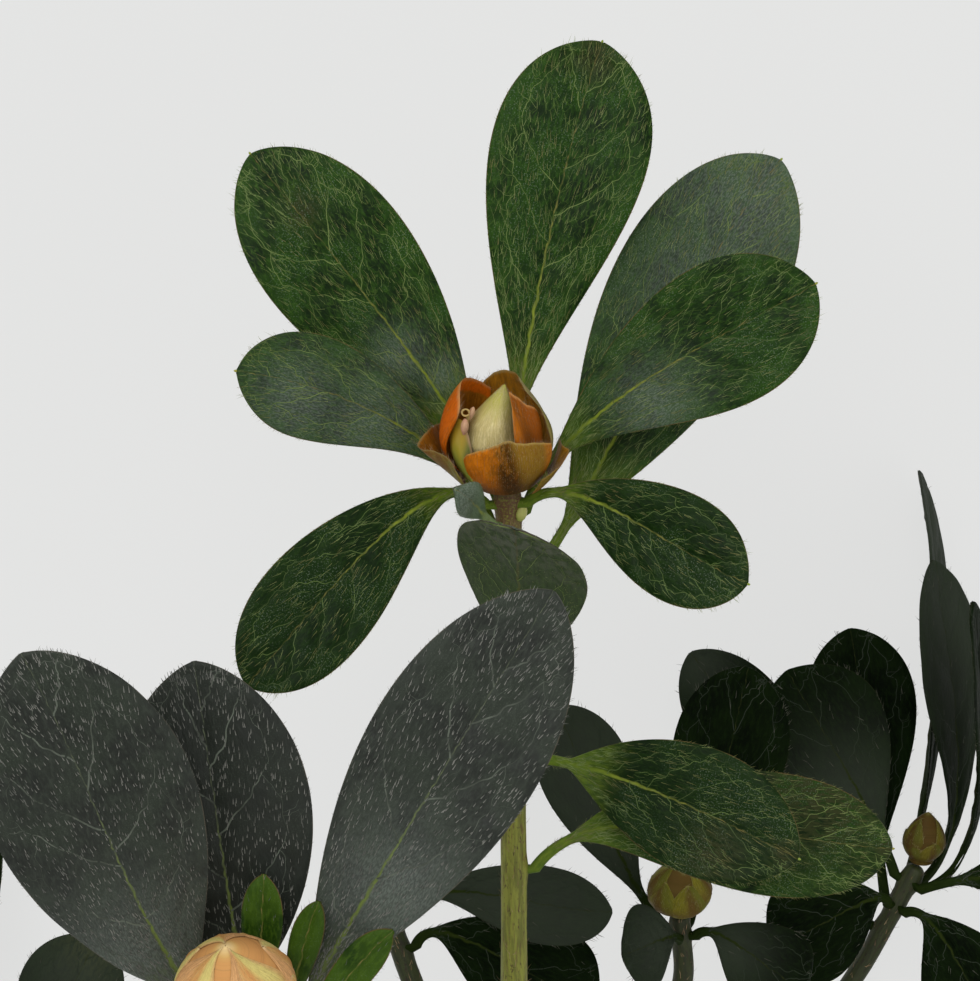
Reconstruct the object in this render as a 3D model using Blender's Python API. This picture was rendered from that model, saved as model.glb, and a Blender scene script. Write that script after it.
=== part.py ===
"""A cut azalea branch, lying on its back on a flat surface.

One woody stem runs from a flat cut to a terminal flower bud, with a whorl of leaves under it. Five side
shoots leave it near the cut, each with leaves of its own, and three of them end in a bud.

The branch is described in its own growing frame, in millimetres: X to the right, Y up the stem and Z
towards the face of the main whorl. A shift then lays it down on its three resting points: the cut end of
the main stem, one leaf of the low shoot and one of the right shoot. The origin is under the middle of its
box.
"""

import math
from collections import namedtuple

import bmesh
import bpy
from mathutils import Matrix, Vector

MM = 0.001
CLEAR = 0.3  # gap between solids that meet

# How far the growing frame moves as the branch lies down: its resting points come to Z = 0.
LYING_SHIFT = (4.0, 28.16, 61.27)

# Leaves
LEAF_ROWS = (0.0, 0.08, 0.18, 0.30, 0.43, 0.56, 0.69, 0.80, 0.89, 0.955, 1.0)
LEAF_COLUMNS = (-1.0, -0.5, 0.0, 0.5, 1.0)
LEAF_THICKNESS = 0.42
EDGE_THINNING = 0.25  # of a leaf's thickness, lost from its midrib to its edge
STALK_THICKNESS = 0.9
STALK_HALF_WIDTH = 0.55
STALK_SHARE = 0.15  # of a leaf's length, before its blade starts
THICK_SHARE = 0.25  # of a leaf's length, over which the stalk's thickness runs out
BLADE_FALL = 0.68  # how bluntly the blade closes at its tip
TIP_HALF_WIDTH = 0.25
LEAF_CUP = 0.16  # how far the halves of a blade rise from its midrib, as a share of their width
START_PULL = 0.28  # of a leaf's reach: how far it keeps its first direction
END_PULL = 0.33

# Stems
STEM_BEVEL_RESOLUTION = 2
STEPS_PER_SPAN = 4
TAPER = 3.0  # how quickly a stem thins from its base

# Buds
BUD_SIDES = 16
BUD_LEVELS = 9
SCALE_THICKNESS = 0.28
SCALE_FOOT = 0.5  # over the disc that carries the scales
SCALE_TURN_LEAD = 1.2  # how early a scale's columns turn towards their points of the rim
SCALE_RISE_LEAD = 0.9  # and how early they rise towards them
PLAIN_BUD_FOOT = 1.3  # radius
SCALE_LEVELS = (0.0, 0.2, 0.42, 0.65, 0.85, 1.0)

Leaf = namedtuple(
    "Leaf",
    "name below seat tip width roll arch sway climb swell",
    defaults=(0.0, 14.0, 0.0, 45.0, 1.45),
)
Shoot = namedtuple("Shoot", "name points radius_base radius_tip leaves")
BudScale = namedtuple("BudScale", "name foot foot_radius rim")


# ---------------------------------------------------------------- sizes and places, in millimetres

MAIN = Shoot(
    "main_stem",
    [
        (3.5, -96, -59.4),
        (3.0, -84, -48),
        (2.6, -72, -36),
        (2.3, -60, -22),
        (2.2, -50, -12.5),
        (2.2, -40, -9.5),
        (2.1, -26, -9),
        (1.9, -12, -8.8),
        (1.75, -4, -7.6),
        (1.55, 0.2, -5.9),
    ],
    2.4,
    1.15,
    [
        Leaf("main_leaf_1", 1.0, 83, (10.3, 41.2, -8.5), 14.6, sway=-7, climb=40, swell=1.7),
        Leaf("main_leaf_2", 9.5, 35, (27.1, 30.8, -14), 15.4, sway=-7, swell=1.2),
        Leaf("main_leaf_3", 3.0, 42, (29.3, 18.6, 0), 13.2, sway=-8, climb=64, swell=1.6),
        Leaf("main_leaf_4", 1.2, -20, (22.9, -8.3, 5), 9.8, sway=-3),
        Leaf("main_leaf_5", 1.4, 190, (-21.7, -17.4, 4), 10.6, sway=13, climb=55),
        Leaf("main_leaf_6", 4.4, 136, (-22.7, 10.7, 2), 9.6, arch=2, sway=24, climb=68, swell=1.9),
        Leaf("main_leaf_7", 2.5, 112, (-22.0, 30.9, -8), 14.0, sway=3, climb=40, swell=1.25),
        Leaf("main_leaf_8", 3.4, 225, (-3.2, 0.2, 3), 3.4),
        Leaf("main_leaf_9", 19.0, 275, (2.2, -3.4, 14), 12.6, roll=158, climb=20),
        Leaf("main_leaf_10", 25.2, -5, (27.9, -33.3, -2), 11.6, sway=-8, climb=-5, swell=1.0),
        Leaf("main_leaf_11", 35.5, 5, (37.3, -33.2, -12), 11.4, sway=-7, climb=55, swell=1.2),
    ],
)
FRONT = Shoot(
    "front_stem",
    [(-0.5, -74, -40), (-6, -70, -33), (-13, -62, -14), (-18.5, -53, 8), (-21, -46.5, 19)],
    1.9,
    1.2,
    [
        Leaf("front_leaf_1", 4.5, 145, (-38.6, -13.4, 34), 17.5, arch=8, swell=1.1),
        Leaf("front_leaf_2", 5.5, 98, (-25.2, -14.5, 22), 16.5, arch=6, swell=0.9),
        Leaf("front_leaf_3", 5.5, 36, (5.4, -8.5, 24), 15.0, arch=4, swell=1.1),
        Leaf("front_leaf_4", 4.0, 320, (2, -70, 16), 14.0),
        Leaf("front_leaf_5", 4.0, 225, (-47, -66, 18), 14.0),
        Leaf("front_leaf_6", 1.0, 75, (-19.3, -32.8, 20), 3.6, arch=-6, climb=-5),
        Leaf("front_leaf_7", 2.6, 42, (-14.6, -35.0, 21.0), 2.8, arch=-6, climb=-5),
        Leaf("front_leaf_8", 1.0, -5, (-8.2, -37.4, 22.5), 3.4, arch=-6, climb=-5),
    ],
)
LOW = Shoot(
    "low_stem",
    [(-0.5, -87, -51), (-8, -84, -50), (-22, -77, -47), (-36, -69, -43), (-47, -62, -38)],
    1.8,
    1.0,
    [
        Leaf("low_leaf_1", 1.0, 20, (-37.5, -42.5, -26), 10.0),
        Leaf("low_leaf_2", 1.5, 120, (-58, -26, -61.0), 13.0),
        Leaf("low_leaf_3", 1.2, 200, (-78, -60, -40), 12.0),
        Leaf("low_leaf_4", 4.0, 300, (-52, -92, -54), 12.5),
    ],
)
BACK = Shoot(
    "back_stem",
    [(-0.6, -66, -29), (-3, -58, -29), (-7, -49, -31), (-10, -41, -32)],
    1.4,
    1.0,
    [
        Leaf("back_leaf_1", 1.0, 0, (11.7, -40.2, -25), 7.6),
        Leaf("back_leaf_2", 4.0, 330, (10.5, -50, -32), 11.0),
        Leaf("back_leaf_3", 1.5, 90, (2, -17, -60), 12.0),
    ],
)
MIDDLE = Shoot(
    "middle_stem",
    [(5.2, -67, -35), (9, -64, -38), (15, -57, -39), (18.8, -49, -37.5), (18.6, -42, -35.5)],
    1.8,
    1.0,
    [
        Leaf("middle_leaf_1", 1.0, 150, (6.2, -21, -32), 9.0),
        Leaf("middle_leaf_2", 1.0, 60, (25.5, -17.4, -38), 11.4, swell=1.2),
        Leaf("middle_leaf_3", 1.5, 260, (12.7, -44.5, -26), 8.4),
        Leaf("middle_leaf_4", 1.5, 330, (31, -49, -34), 9.0),
    ],
)
RIGHT = Shoot(
    "right_stem",
    [(6.0, -82, -50), (13, -77, -51), (24, -65, -52), (36, -51, -52), (43, -38.5, -50)],
    1.8,
    1.0,
    [
        Leaf("right_leaf_1", 1.2, 90, (44.2, 2.1, -57.3), 11.0, roll=75),
        Leaf("right_leaf_2", 1.2, 45, (44.6, -7, -47), 11.0, roll=55),
        Leaf("right_leaf_3", 1.2, 185, (29.7, -18, -45), 13.0),
        Leaf("right_leaf_4", 4.0, 130, (36.6, -14, -52), 11.0),
        Leaf("right_leaf_5", 4.0, 230, (28, -46, -46), 11.0),
        Leaf("right_leaf_6", 4.0, 300, (52, -56, -48), 11.0),
        Leaf("right_leaf_7", 1.2, -50, (70, -38, -53), 12.0),
        Leaf("right_leaf_8", 1.2, -2, (47.8, -11, -40), 10.0, roll=80),
        Leaf("right_leaf_9", 7.0, 165, (20.5, -16.5, -54), 10.0),
    ],
)
SHOOTS = [MAIN, FRONT, LOW, BACK, MIDDLE, RIGHT]

# The main bud: its foot, its axis, its height and the scales round its core
BUD_FOOT = (1.45, 1.75, -5.05)
BUD_AXIS = (-0.07, 0.86, 0.5)
# The disc under it, as rings: the height, the radius and how far to the right each stands
BUD_DISC = [(-1.3, 1.35, 0.0), (-0.3, 4.0, 0.0), (0.0, 4.0, 0.0)]
# The inner bud leans: its radius and how far it stands to the right of the bud's axis, at each height
CORE_HEIGHTS = (0.0, 2.0, 4.0, 6.0, 8.0, 9.0, 9.6)
CORE_RADII = (1.5, 2.25, 2.45, 2.0, 1.0, 0.42, 0.04)
CORE_LEAN = (0.0, -0.85, -1.15, -0.9, -0.15, 0.25, 0.5)
# Each scale: its foot's turns round the bud (0 faces front, 90 right), its foot's radius, and points along its
# edge: the turn, radius and height of each, and the radius half-way up to it
BUD_SCALES = [
    BudScale(
        "bud_scale_left",
        (-76, -156),
        2.45,
        [
            (-84, 5.4, 3.4, 4.5),
            (-72, 5.2, 5.4, 5.1),
            (-61, 4.6, 7.0, 5.4),
            (-60, 4.2, 8.4, 5.7),
            (-76, 3.6, 9.5, 5.6),
            (-100, 3.1, 9.7, 5.3),
            (-125, 2.9, 9.0, 4.8),
            (-146, 2.8, 8.2, 4.1),
            (-166, 3.0, 7.2, 3.5),
        ],
    ),
    BudScale(
        "bud_scale_back",
        (-166, -280),
        2.95,
        [
            (-156, 4.4, 6.8, 4.6),
            (-168, 4.2, 7.7, 4.7),
            (-182, 3.9, 8.3, 4.7),
            (-206, 3.4, 8.5, 4.6),
            (-232, 2.4, 8.4, 4.5),
            (-262, 2.4, 8.0, 4.4),
            (-279, 3.2, 7.2, 4.5),
            (-284, 3.9, 6.1, 4.4),
            (-282, 4.1, 4.7, 4.3),
        ],
    ),
    BudScale(
        "bud_scale_right",
        (20, 100),
        2.35,
        [
            (18, 3.1, 5.6, 3.1),
            (22, 2.6, 7.6, 3.2),
            (32, 1.6, 8.9, 3.0),
            (45, 2.1, 8.4, 2.9),
            (57, 2.5, 7.7, 3.1),
            (71, 3.0, 7.0, 3.3),
            (86, 3.3, 6.0, 3.4),
        ],
    ),
    BudScale(
        "bud_scale_front",
        (-60, 58),
        2.95,
        [
            (-61, 4.5, 2.7, 4.0),
            (-44, 4.5, 4.1, 4.4),
            (-15, 4.2, 5.0, 4.6),
            (3, 4.1, 5.5, 4.6),
            (18, 4.2, 5.1, 4.6),
            (41, 4.5, 4.7, 4.5),
            (62, 4.8, 3.9, 4.4),
        ],
    ),
    BudScale(
        "bud_scale_low_left",
        (-46, -118),
        3.8,
        [
            (-54, 4.95, 1.1, 4.65),
            (-58, 5.45, 2.3, 4.95),
            (-61, 5.8, 3.4, 5.1),
            (-71, 6.8, 4.0, 5.6),
            (-79, 8.0, 4.3, 5.85),
            (-88, 6.8, 5.0, 5.6),
            (-98, 6.3, 4.9, 5.35),
            (-110, 6.0, 4.4, 5.15),
        ],
    ),
    BudScale(
        "bud_scale_low_right",
        (34, 104),
        3.8,
        [
            (42, 4.7, 0.9, 4.3),
            (50, 5.0, 1.1, 4.45),
            (62, 5.35, 1.4, 4.65),
            (73, 5.7, 1.8, 4.7),
            (80, 5.9, 2.2, 4.8),
            (90, 5.3, 2.2, 4.7),
            (104, 5.2, 2.3, 4.8),
        ],
    ),
]

# The plain buds: foot, axis, length and radius
PLAIN_BUDS = {
    "front_bud": ((-21.3, -45.2, 20.6), (-0.1, 0.75, 0.65), 11.0, 5.4),
    "middle_bud": ((18.5, -41.0, -35.2), (0, 0.8, 0.6), 6.5, 3.2),
    "right_bud": ((43.6, -37.4, -49.8), (0.1, 0.9, 0.4), 6.0, 2.2),
}


# ---------------------------------------------------------------- stems


def smooth_path(points, steps=STEPS_PER_SPAN):
    """Points along a Catmull-Rom curve through the given ones."""
    given = [Vector(p) for p in points]
    ends = 2 * given[0] - given[1], 2 * given[-1] - given[-2]
    given = [ends[0], *given, ends[1]]
    path = []
    for a, b, c, d in zip(given, given[1:], given[2:], given[3:]):
        for k in range(steps):
            t = k / steps
            linear = (c - a) * t
            square = (2 * a - 5 * b + 4 * c - d) * t**2
            cube = (3 * b - a - 3 * c + d) * t**3
            path.append(0.5 * (2 * b + linear + square + cube))
    return [*path, given[-2]]


def stem_radius(shoot, share):
    return shoot.radius_tip + (shoot.radius_base - shoot.radius_tip) * (1 - share) ** TAPER


def stem_object(shoot, path, material):
    curve = bpy.data.curves.new(shoot.name, "CURVE")
    curve.dimensions = "3D"
    curve.bevel_depth = MM
    curve.bevel_resolution = STEM_BEVEL_RESOLUTION
    curve.use_fill_caps = True
    spline = curve.splines.new("POLY")
    spline.points.add(len(path) - 1)
    for share, place, point in zip(shares_along(path), path, spline.points):
        point.co = (*(place * MM), 1.0)
        point.radius = stem_radius(shoot, share)
    return add_to_branch(shoot.name, curve, material)


def shares_along(path):
    """How far along the path each of its points lies, from 0 to 1."""
    gone = [0.0]
    for a, b in zip(path, path[1:]):
        gone.append(gone[-1] + (b - a).length)
    return [g / gone[-1] for g in gone]


def place_below_tip(path, below):
    """The point that far down a path from its tip, the path's direction there, and its share of the path."""
    total = sum((b - a).length for a, b in zip(path, path[1:]))
    left = below
    for a, b in zip(reversed(path[:-1]), reversed(path[1:])):
        step = (b - a).length
        if left <= step:
            return b + (a - b) * (left / step), (b - a).normalized(), 1 - below / total
        left -= step
    raise ValueError("a leaf sits below the foot of its stem")


# ---------------------------------------------------------------- leaves


def half_width(leaf, t):
    """Half the leaf's width at t of its length: a slim stalk, then a blade that is widest past its middle."""
    stalk = STALK_HALF_WIDTH * (1 - t)
    u = (t - STALK_SHARE) / (1 - STALK_SHARE)
    if u <= 0 or u >= 1:
        return max(TIP_HALF_WIDTH, stalk)
    widest = leaf.swell / (leaf.swell + BLADE_FALL)
    shape = (u / widest) ** leaf.swell * ((1 - u) / (1 - widest)) ** BLADE_FALL
    return max(TIP_HALF_WIDTH, math.hypot(stalk, leaf.width / 2 * shape))


def turned(vector, axis, degrees):
    return Matrix.Rotation(math.radians(degrees), 3, axis) @ vector


def midrib(leaf, shoot, path):
    """A function of t that gives a point of the midrib, its direction and the way the leaf faces there."""
    centre, along, share = place_below_tip(path, leaf.below)
    right = (Vector((1, 0, 0)) - along * along.x).normalized()
    outward = turned(right, along, leaf.seat)
    start = turned(outward, along.cross(outward), -leaf.climb)
    tip = Vector(leaf.tip)
    chord = (tip - centre).normalized()
    face = Vector((0, 0, 1)) - chord * chord.z
    face = turned(face.normalized(), chord, leaf.roll)
    end = turned(chord, chord.cross(face), -leaf.arch)
    end = turned(end, face, leaf.sway)
    first_face = (face - start * face.dot(start)).normalized()
    first_side = start.cross(first_face)
    corner = abs(first_side.dot(outward)) * STALK_HALF_WIDTH
    corner += abs(first_face.dot(outward)) * STALK_THICKNESS / 2
    root = centre + outward * (stem_radius(shoot, share) + CLEAR + corner)
    reach = (tip - root).length
    bend = root, root + start * reach * START_PULL, tip - end * reach * END_PULL, tip

    def at(t):
        s = 1 - t
        point = bend[0] * s**3 + bend[1] * 3 * s * s * t + bend[2] * 3 * s * t * t + bend[3] * t**3
        way = (bend[1] - bend[0]) * s * s + (bend[2] - bend[1]) * 2 * s * t + (bend[3] - bend[2]) * t * t
        way.normalize()
        return point, way, (face - way * face.dot(way)).normalized()

    return at


def leaf_object(leaf, shoot, path, material):
    at = midrib(leaf, shoot, path)
    bm = bmesh.new()
    rows = []
    for t in LEAF_ROWS:
        point, way, up = at(t)
        side = way.cross(up)
        half = half_width(leaf, t)
        gull = [LEAF_CUP * (abs(s) - 0.5 * s * s) for s in LEAF_COLUMNS]
        places = [point + (side * s + up * g) * half for s, g in zip(LEAF_COLUMNS, gull)]
        rows.append([bm.verts.new(place * MM) for place in places])
    fill_between(bm, rows)
    obj = mesh_object(leaf.name, bm, material)
    group = obj.vertex_groups.new(name="thickness")
    for index, (t, s) in enumerate((t, s) for t in LEAF_ROWS for s in LEAF_COLUMNS):
        stalk = max(0.0, 1 - t / THICK_SHARE)
        wall = LEAF_THICKNESS * (1 - EDGE_THINNING * abs(s))
        wall += (STALK_THICKNESS - wall) * stalk
        group.add([index], wall / STALK_THICKNESS, "REPLACE")
    add_thickness(obj, STALK_THICKNESS, "thickness")
    return obj


# ---------------------------------------------------------------- buds


def bud_frame(foot, axis):
    """A matrix with Z up the bud and -Y towards the face of the branch, so that a turn of 0 faces front."""
    z = Vector(axis).normalized()
    front = (Vector((0, 0, 1)) - z * z.z).normalized()
    x = (-front).cross(z)
    matrix = Matrix((x, -front, z)).transposed().to_4x4()
    matrix.translation = Vector(foot)
    return matrix


def turned_object(name, frame, profile, material):
    """A closed solid of rings: a height, a radius and how far it stands to the right for each, foot first."""
    bm = bmesh.new()
    rings = []
    for height, radius, lean in profile:
        angles = [2 * math.pi * n / BUD_SIDES for n in range(BUD_SIDES)]
        places = [Vector((radius * math.cos(a) + lean, radius * math.sin(a), height)) for a in angles]
        rings.append([bm.verts.new((frame @ place) * MM) for place in places])
    for low, high in zip(rings, rings[1:]):
        for n in range(BUD_SIDES):
            m = (n + 1) % BUD_SIDES
            bm.faces.new((low[n], low[m], high[m], high[n]))
    bm.faces.new(rings[0][::-1])
    bm.faces.new(rings[-1])
    return mesh_object(name, bm, material)


def egg_profile(height, radius, foot, tip=0.2):
    """An egg from a foot of that radius to a blunt tip, widest two fifths of the way up."""
    steps = [k / (BUD_LEVELS - 1) for k in range(BUD_LEVELS)]
    swell = [math.sin(math.pi * h**0.76) ** 0.75 if 0 < h < 1 else 0.0 for h in steps]
    return [(height * h, max(radius * w, foot * (1 - h) ** 2, tip), 0.0) for h, w in zip(steps, swell)]


def bud_core(frame, material):
    """The closed inner bud and the disc under it that the scales stand on."""
    core = list(zip(CORE_HEIGHTS, CORE_RADII, CORE_LEAN))
    return turned_object("bud_core", frame, BUD_DISC + core, material)


def bud_scale(spec, frame, material):
    """A thin scale that stands on the disc: each column climbs from its foot to a point of the rim."""
    bm = bmesh.new()
    first, last = spec.foot
    rows = []
    for h in SCALE_LEVELS:
        row = []
        for number, (rim_turn, rim_radius, rim_height, middle) in enumerate(spec.rim):
            foot_turn = first + (last - first) * number / (len(spec.rim) - 1)
            turn = foot_turn + (rim_turn - foot_turn) * (SCALE_TURN_LEAD * h * (1 - h) + h * h)
            bulge = 2 * middle - (spec.foot_radius + rim_radius) / 2
            radius = spec.foot_radius * (1 - h) ** 2 + bulge * 2 * h * (1 - h) + rim_radius * h * h
            rise = SCALE_RISE_LEAD * h * (1 - h) + h * h
            height = SCALE_FOOT + (rim_height - SCALE_FOOT) * rise
            angle = math.radians(turn - 90)
            place = Vector((radius * math.cos(angle), radius * math.sin(angle), height))
            row.append(bm.verts.new((frame @ place) * MM))
        rows.append(row)
    fill_between(bm, rows)
    obj = mesh_object(spec.name, bm, material)
    add_thickness(obj, SCALE_THICKNESS)
    return obj


# ---------------------------------------------------------------- shared making


def fill_between(bm, rows):
    for low, high in zip(rows, rows[1:]):
        for k in range(len(low) - 1):
            bm.faces.new((low[k], low[k + 1], high[k + 1], high[k]))


def mesh_object(name, bm, material):
    bmesh.ops.recalc_face_normals(bm, faces=bm.faces)
    mesh = bpy.data.meshes.new(name)
    bm.to_mesh(mesh)
    bm.free()
    mesh.shade_smooth()
    return add_to_branch(name, mesh, material)


def add_to_branch(name, data, material):
    data.materials.append(material)
    obj = bpy.data.objects.new(name, data)
    bpy.context.scene.collection.objects.link(obj)
    obj.parent = bpy.data.objects["branch"]
    return obj


def add_thickness(obj, thickness, group=""):
    solid = obj.modifiers.new("thickness", "SOLIDIFY")
    solid.thickness = thickness * MM
    solid.offset = 0.0
    solid.vertex_group = group


def make_material(name, colour, roughness, metallic=0.0):
    material = bpy.data.materials.new(name)
    material.use_nodes = True
    shader = material.node_tree.nodes["Principled BSDF"]
    shader.inputs["Base Color"].default_value = (*colour, 1.0)
    shader.inputs["Roughness"].default_value = roughness
    shader.inputs["Metallic"].default_value = metallic
    return material


def clear_scene():
    for old in list(bpy.data.objects):
        bpy.data.objects.remove(old, do_unlink=True)


def main():
    clear_scene()
    branch = bpy.data.objects.new("branch", None)
    bpy.context.scene.collection.objects.link(branch)
    branch.location = Vector(LYING_SHIFT) * MM

    bark = make_material("bark", (0.25, 0.27, 0.06), 0.6)
    leaf_green = make_material("leaf_green", (0.02, 0.07, 0.025), 0.5)
    scale_orange = make_material("scale_orange", (0.45, 0.16, 0.03), 0.55)
    bud_cream = make_material("bud_cream", (0.55, 0.5, 0.25), 0.6)
    bud_olive = make_material("bud_olive", (0.3, 0.25, 0.07), 0.6)

    for shoot in SHOOTS:
        path = smooth_path(shoot.points)
        stem_object(shoot, path, bark)
        for leaf in shoot.leaves:
            leaf_object(leaf, shoot, path, leaf_green)

    frame = bud_frame(BUD_FOOT, BUD_AXIS)
    bud_core(frame, bud_cream)
    for spec in BUD_SCALES:
        bud_scale(spec, frame, scale_orange)
    for name, (foot, axis, height, radius) in PLAIN_BUDS.items():
        turned_object(name, bud_frame(foot, axis), egg_profile(height, radius, PLAIN_BUD_FOOT), bud_olive)


main()
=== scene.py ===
"""The looks of a cut azalea branch that lies on its back.

Every leaf, stem and bud of the frame is replaced by a finer piece that grows by the same rule from the same
named sizes: blades with sunken veins, hairs and a thin margin, stems with bark, and buds of papery scales.
Places are millimetres in the branch's growing frame: X to the right, Y up the stem, Z towards the face of
the main whorl. LYING_SHIFT moves them to where the branch lies.
"""

import math
from collections import namedtuple

import bpy
import numpy as np
from mathutils import Matrix, Vector, kdtree


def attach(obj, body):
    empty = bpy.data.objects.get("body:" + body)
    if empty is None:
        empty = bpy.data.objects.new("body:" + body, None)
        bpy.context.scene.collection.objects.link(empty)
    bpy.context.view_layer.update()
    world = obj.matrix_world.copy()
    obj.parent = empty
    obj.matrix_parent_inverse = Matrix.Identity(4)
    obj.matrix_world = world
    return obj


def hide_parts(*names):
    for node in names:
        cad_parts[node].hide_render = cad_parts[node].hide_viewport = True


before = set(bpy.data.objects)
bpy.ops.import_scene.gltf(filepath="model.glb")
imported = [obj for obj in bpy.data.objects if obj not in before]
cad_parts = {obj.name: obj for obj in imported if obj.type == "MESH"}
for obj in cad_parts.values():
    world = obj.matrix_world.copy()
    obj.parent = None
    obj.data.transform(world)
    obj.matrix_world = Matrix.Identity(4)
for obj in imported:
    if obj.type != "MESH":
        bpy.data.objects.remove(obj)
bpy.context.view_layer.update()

MM = 0.001
LYING_SHIFT = (4.0, 28.16, 61.27)

# Leaves, as in the frame
STALK_THICKNESS = 0.9
STALK_HALF_WIDTH = 0.55
STALK_SHARE = 0.15  # of a leaf's length, before its blade starts
BLADE_FALL = 0.68  # how bluntly the blade closes at its tip
TIP_HALF_WIDTH = 0.25
LEAF_CUP = 0.16  # how far the halves of a blade rise from its midrib, as a share of their width
START_PULL = 0.28  # of a leaf's reach: how far it keeps its first direction
END_PULL = 0.33
CLEAR = 0.3  # the frame's gap between a stalk and its stem, which the stalk's foot closes here
TAPER = 3.0  # how quickly a stem thins from its base

# Leaves, finer than the frame
BLADE_THICKNESS = 0.34
STALK_FADE = 0.22  # of a leaf's length, over which its stalk flattens into the blade
BLADE_RISE = 0.15  # of a leaf's length, over which the relief of its blade begins
FOOT_ROWS = 4  # of a stalk, inside its stem
FOOT_DEPTH = 0.6
TIP_CROWDING = 1.5  # how much closer the rows of a blade lie towards its blunt tip
GROOVE_DEPTH = 0.2  # of the midrib
VEIN_DEPTH = 0.075
QUILT_RISE = 0.11  # of the blade between its veins
BLADE_ROLL = 0.07  # of its broad unevenness
MARGIN_RIPPLE = 0.3
RIB_DEPTH = 0.4  # of the midrib under the blade
RIBBON_LIFT = 0.02  # of a vein's line over the blade
HAIR_NARROWING = 0.7  # of a hair's width at its bend
TIP_ROUNDING = 0.008  # of a leaf's length, over which its thickness closes at its tip

# A shoot's leaves are numbered from 1, as in the frame. below: how far under the stem's tip a leaf sits.
# seat: its side of the stem in degrees, 0 to the right and 90 behind. roll, arch, sway and climb: degrees by
# which its face and its two ends turn. swell: how slim the foot of its blade is
LEAF_FIELDS = "below seat tip width roll arch sway climb swell"
Leaf = namedtuple("Leaf", LEAF_FIELDS, defaults=(0.0, 14.0, 0.0, 45.0, 1.45))
Shoot = namedtuple("Shoot", "family points radius_base radius_tip leaves")
BudScale = namedtuple("BudScale", "name foot foot_radius ragged face_hairs edge_hairs number rim")

MAIN = Shoot(
    "main",
    [
        (3.5, -96, -59.4), (3.0, -84, -48), (2.6, -72, -36), (2.3, -60, -22), (2.2, -50, -12.5),
        (2.2, -40, -9.5), (2.1, -26, -9), (1.9, -12, -8.8), (1.75, -4, -7.6), (1.55, 0.2, -5.9),
    ],
    2.4,
    1.15,
    [
        Leaf(1.0, 83, (10.3, 41.2, -8.5), 14.6, sway=-7, climb=40, swell=1.7),
        Leaf(9.5, 35, (27.1, 30.8, -14), 15.4, sway=-7, swell=1.2),
        Leaf(3.0, 42, (29.3, 18.6, 0), 13.2, sway=-8, climb=64, swell=1.6),
        Leaf(1.2, -20, (22.9, -8.3, 5), 9.8, sway=-3),
        Leaf(1.4, 190, (-21.7, -17.4, 4), 10.6, sway=13, climb=55),
        Leaf(4.4, 136, (-22.7, 10.7, 2), 9.6, arch=2, sway=24, climb=68, swell=1.9),
        Leaf(2.5, 112, (-22.0, 30.9, -8), 14.0, sway=3, climb=40, swell=1.25),
        Leaf(3.4, 225, (-3.2, 0.2, 3), 3.4),
        Leaf(19.0, 275, (2.2, -3.4, 14), 12.6, roll=158, climb=20),
        Leaf(25.2, -5, (27.9, -33.3, -2), 11.6, sway=-8, climb=-5, swell=1.0),
        Leaf(35.5, 5, (37.3, -33.2, -12), 11.4, sway=-7, climb=55, swell=1.2),
    ],
)
FRONT = Shoot(
    "front",
    [(-0.5, -74, -40), (-6, -70, -33), (-13, -62, -14), (-18.5, -53, 8), (-21, -46.5, 19)],
    1.9,
    1.2,
    [
        Leaf(4.5, 145, (-38.6, -13.4, 34), 17.5, arch=8, swell=1.1),
        Leaf(5.5, 98, (-25.2, -14.5, 22), 16.5, arch=6, swell=0.9),
        Leaf(5.5, 36, (5.4, -8.5, 24), 15.0, arch=4, swell=1.1),
        Leaf(4.0, 320, (2, -70, 16), 14.0),
        Leaf(4.0, 225, (-47, -66, 18), 14.0),
        Leaf(1.0, 75, (-19.3, -32.8, 20), 3.6, arch=-6, climb=-5),
        Leaf(2.6, 42, (-14.6, -35.0, 21.0), 2.8, arch=-6, climb=-5),
        Leaf(1.0, -5, (-8.2, -37.4, 22.5), 3.4, arch=-6, climb=-5),
    ],
)
LOW = Shoot(
    "low",
    [(-0.5, -87, -51), (-8, -84, -50), (-22, -77, -47), (-36, -69, -43), (-47, -62, -38)],
    1.8,
    1.0,
    [
        Leaf(1.0, 20, (-37.5, -42.5, -26), 10.0),
        Leaf(1.5, 120, (-58, -26, -61.0), 13.0),
        Leaf(1.2, 200, (-78, -60, -40), 12.0),
        Leaf(4.0, 300, (-52, -92, -54), 12.5),
    ],
)
BACK = Shoot(
    "back",
    [(-0.6, -66, -29), (-3, -58, -29), (-7, -49, -31), (-10, -41, -32)],
    1.4,
    1.0,
    [
        Leaf(1.0, 0, (11.7, -40.2, -25), 7.6),
        Leaf(4.0, 330, (10.5, -50, -32), 11.0),
        Leaf(1.5, 90, (2, -17, -60), 12.0),
    ],
)
MIDDLE = Shoot(
    "middle",
    [(5.2, -67, -35), (9, -64, -38), (15, -57, -39), (18.8, -49, -37.5), (18.6, -42, -35.5)],
    1.8,
    1.0,
    [
        Leaf(1.0, 150, (6.2, -21, -32), 9.0),
        Leaf(1.0, 60, (25.5, -17.4, -38), 11.4, swell=1.2),
        Leaf(1.5, 260, (12.7, -44.5, -26), 8.4),
        Leaf(1.5, 330, (31, -49, -34), 9.0),
    ],
)
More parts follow.
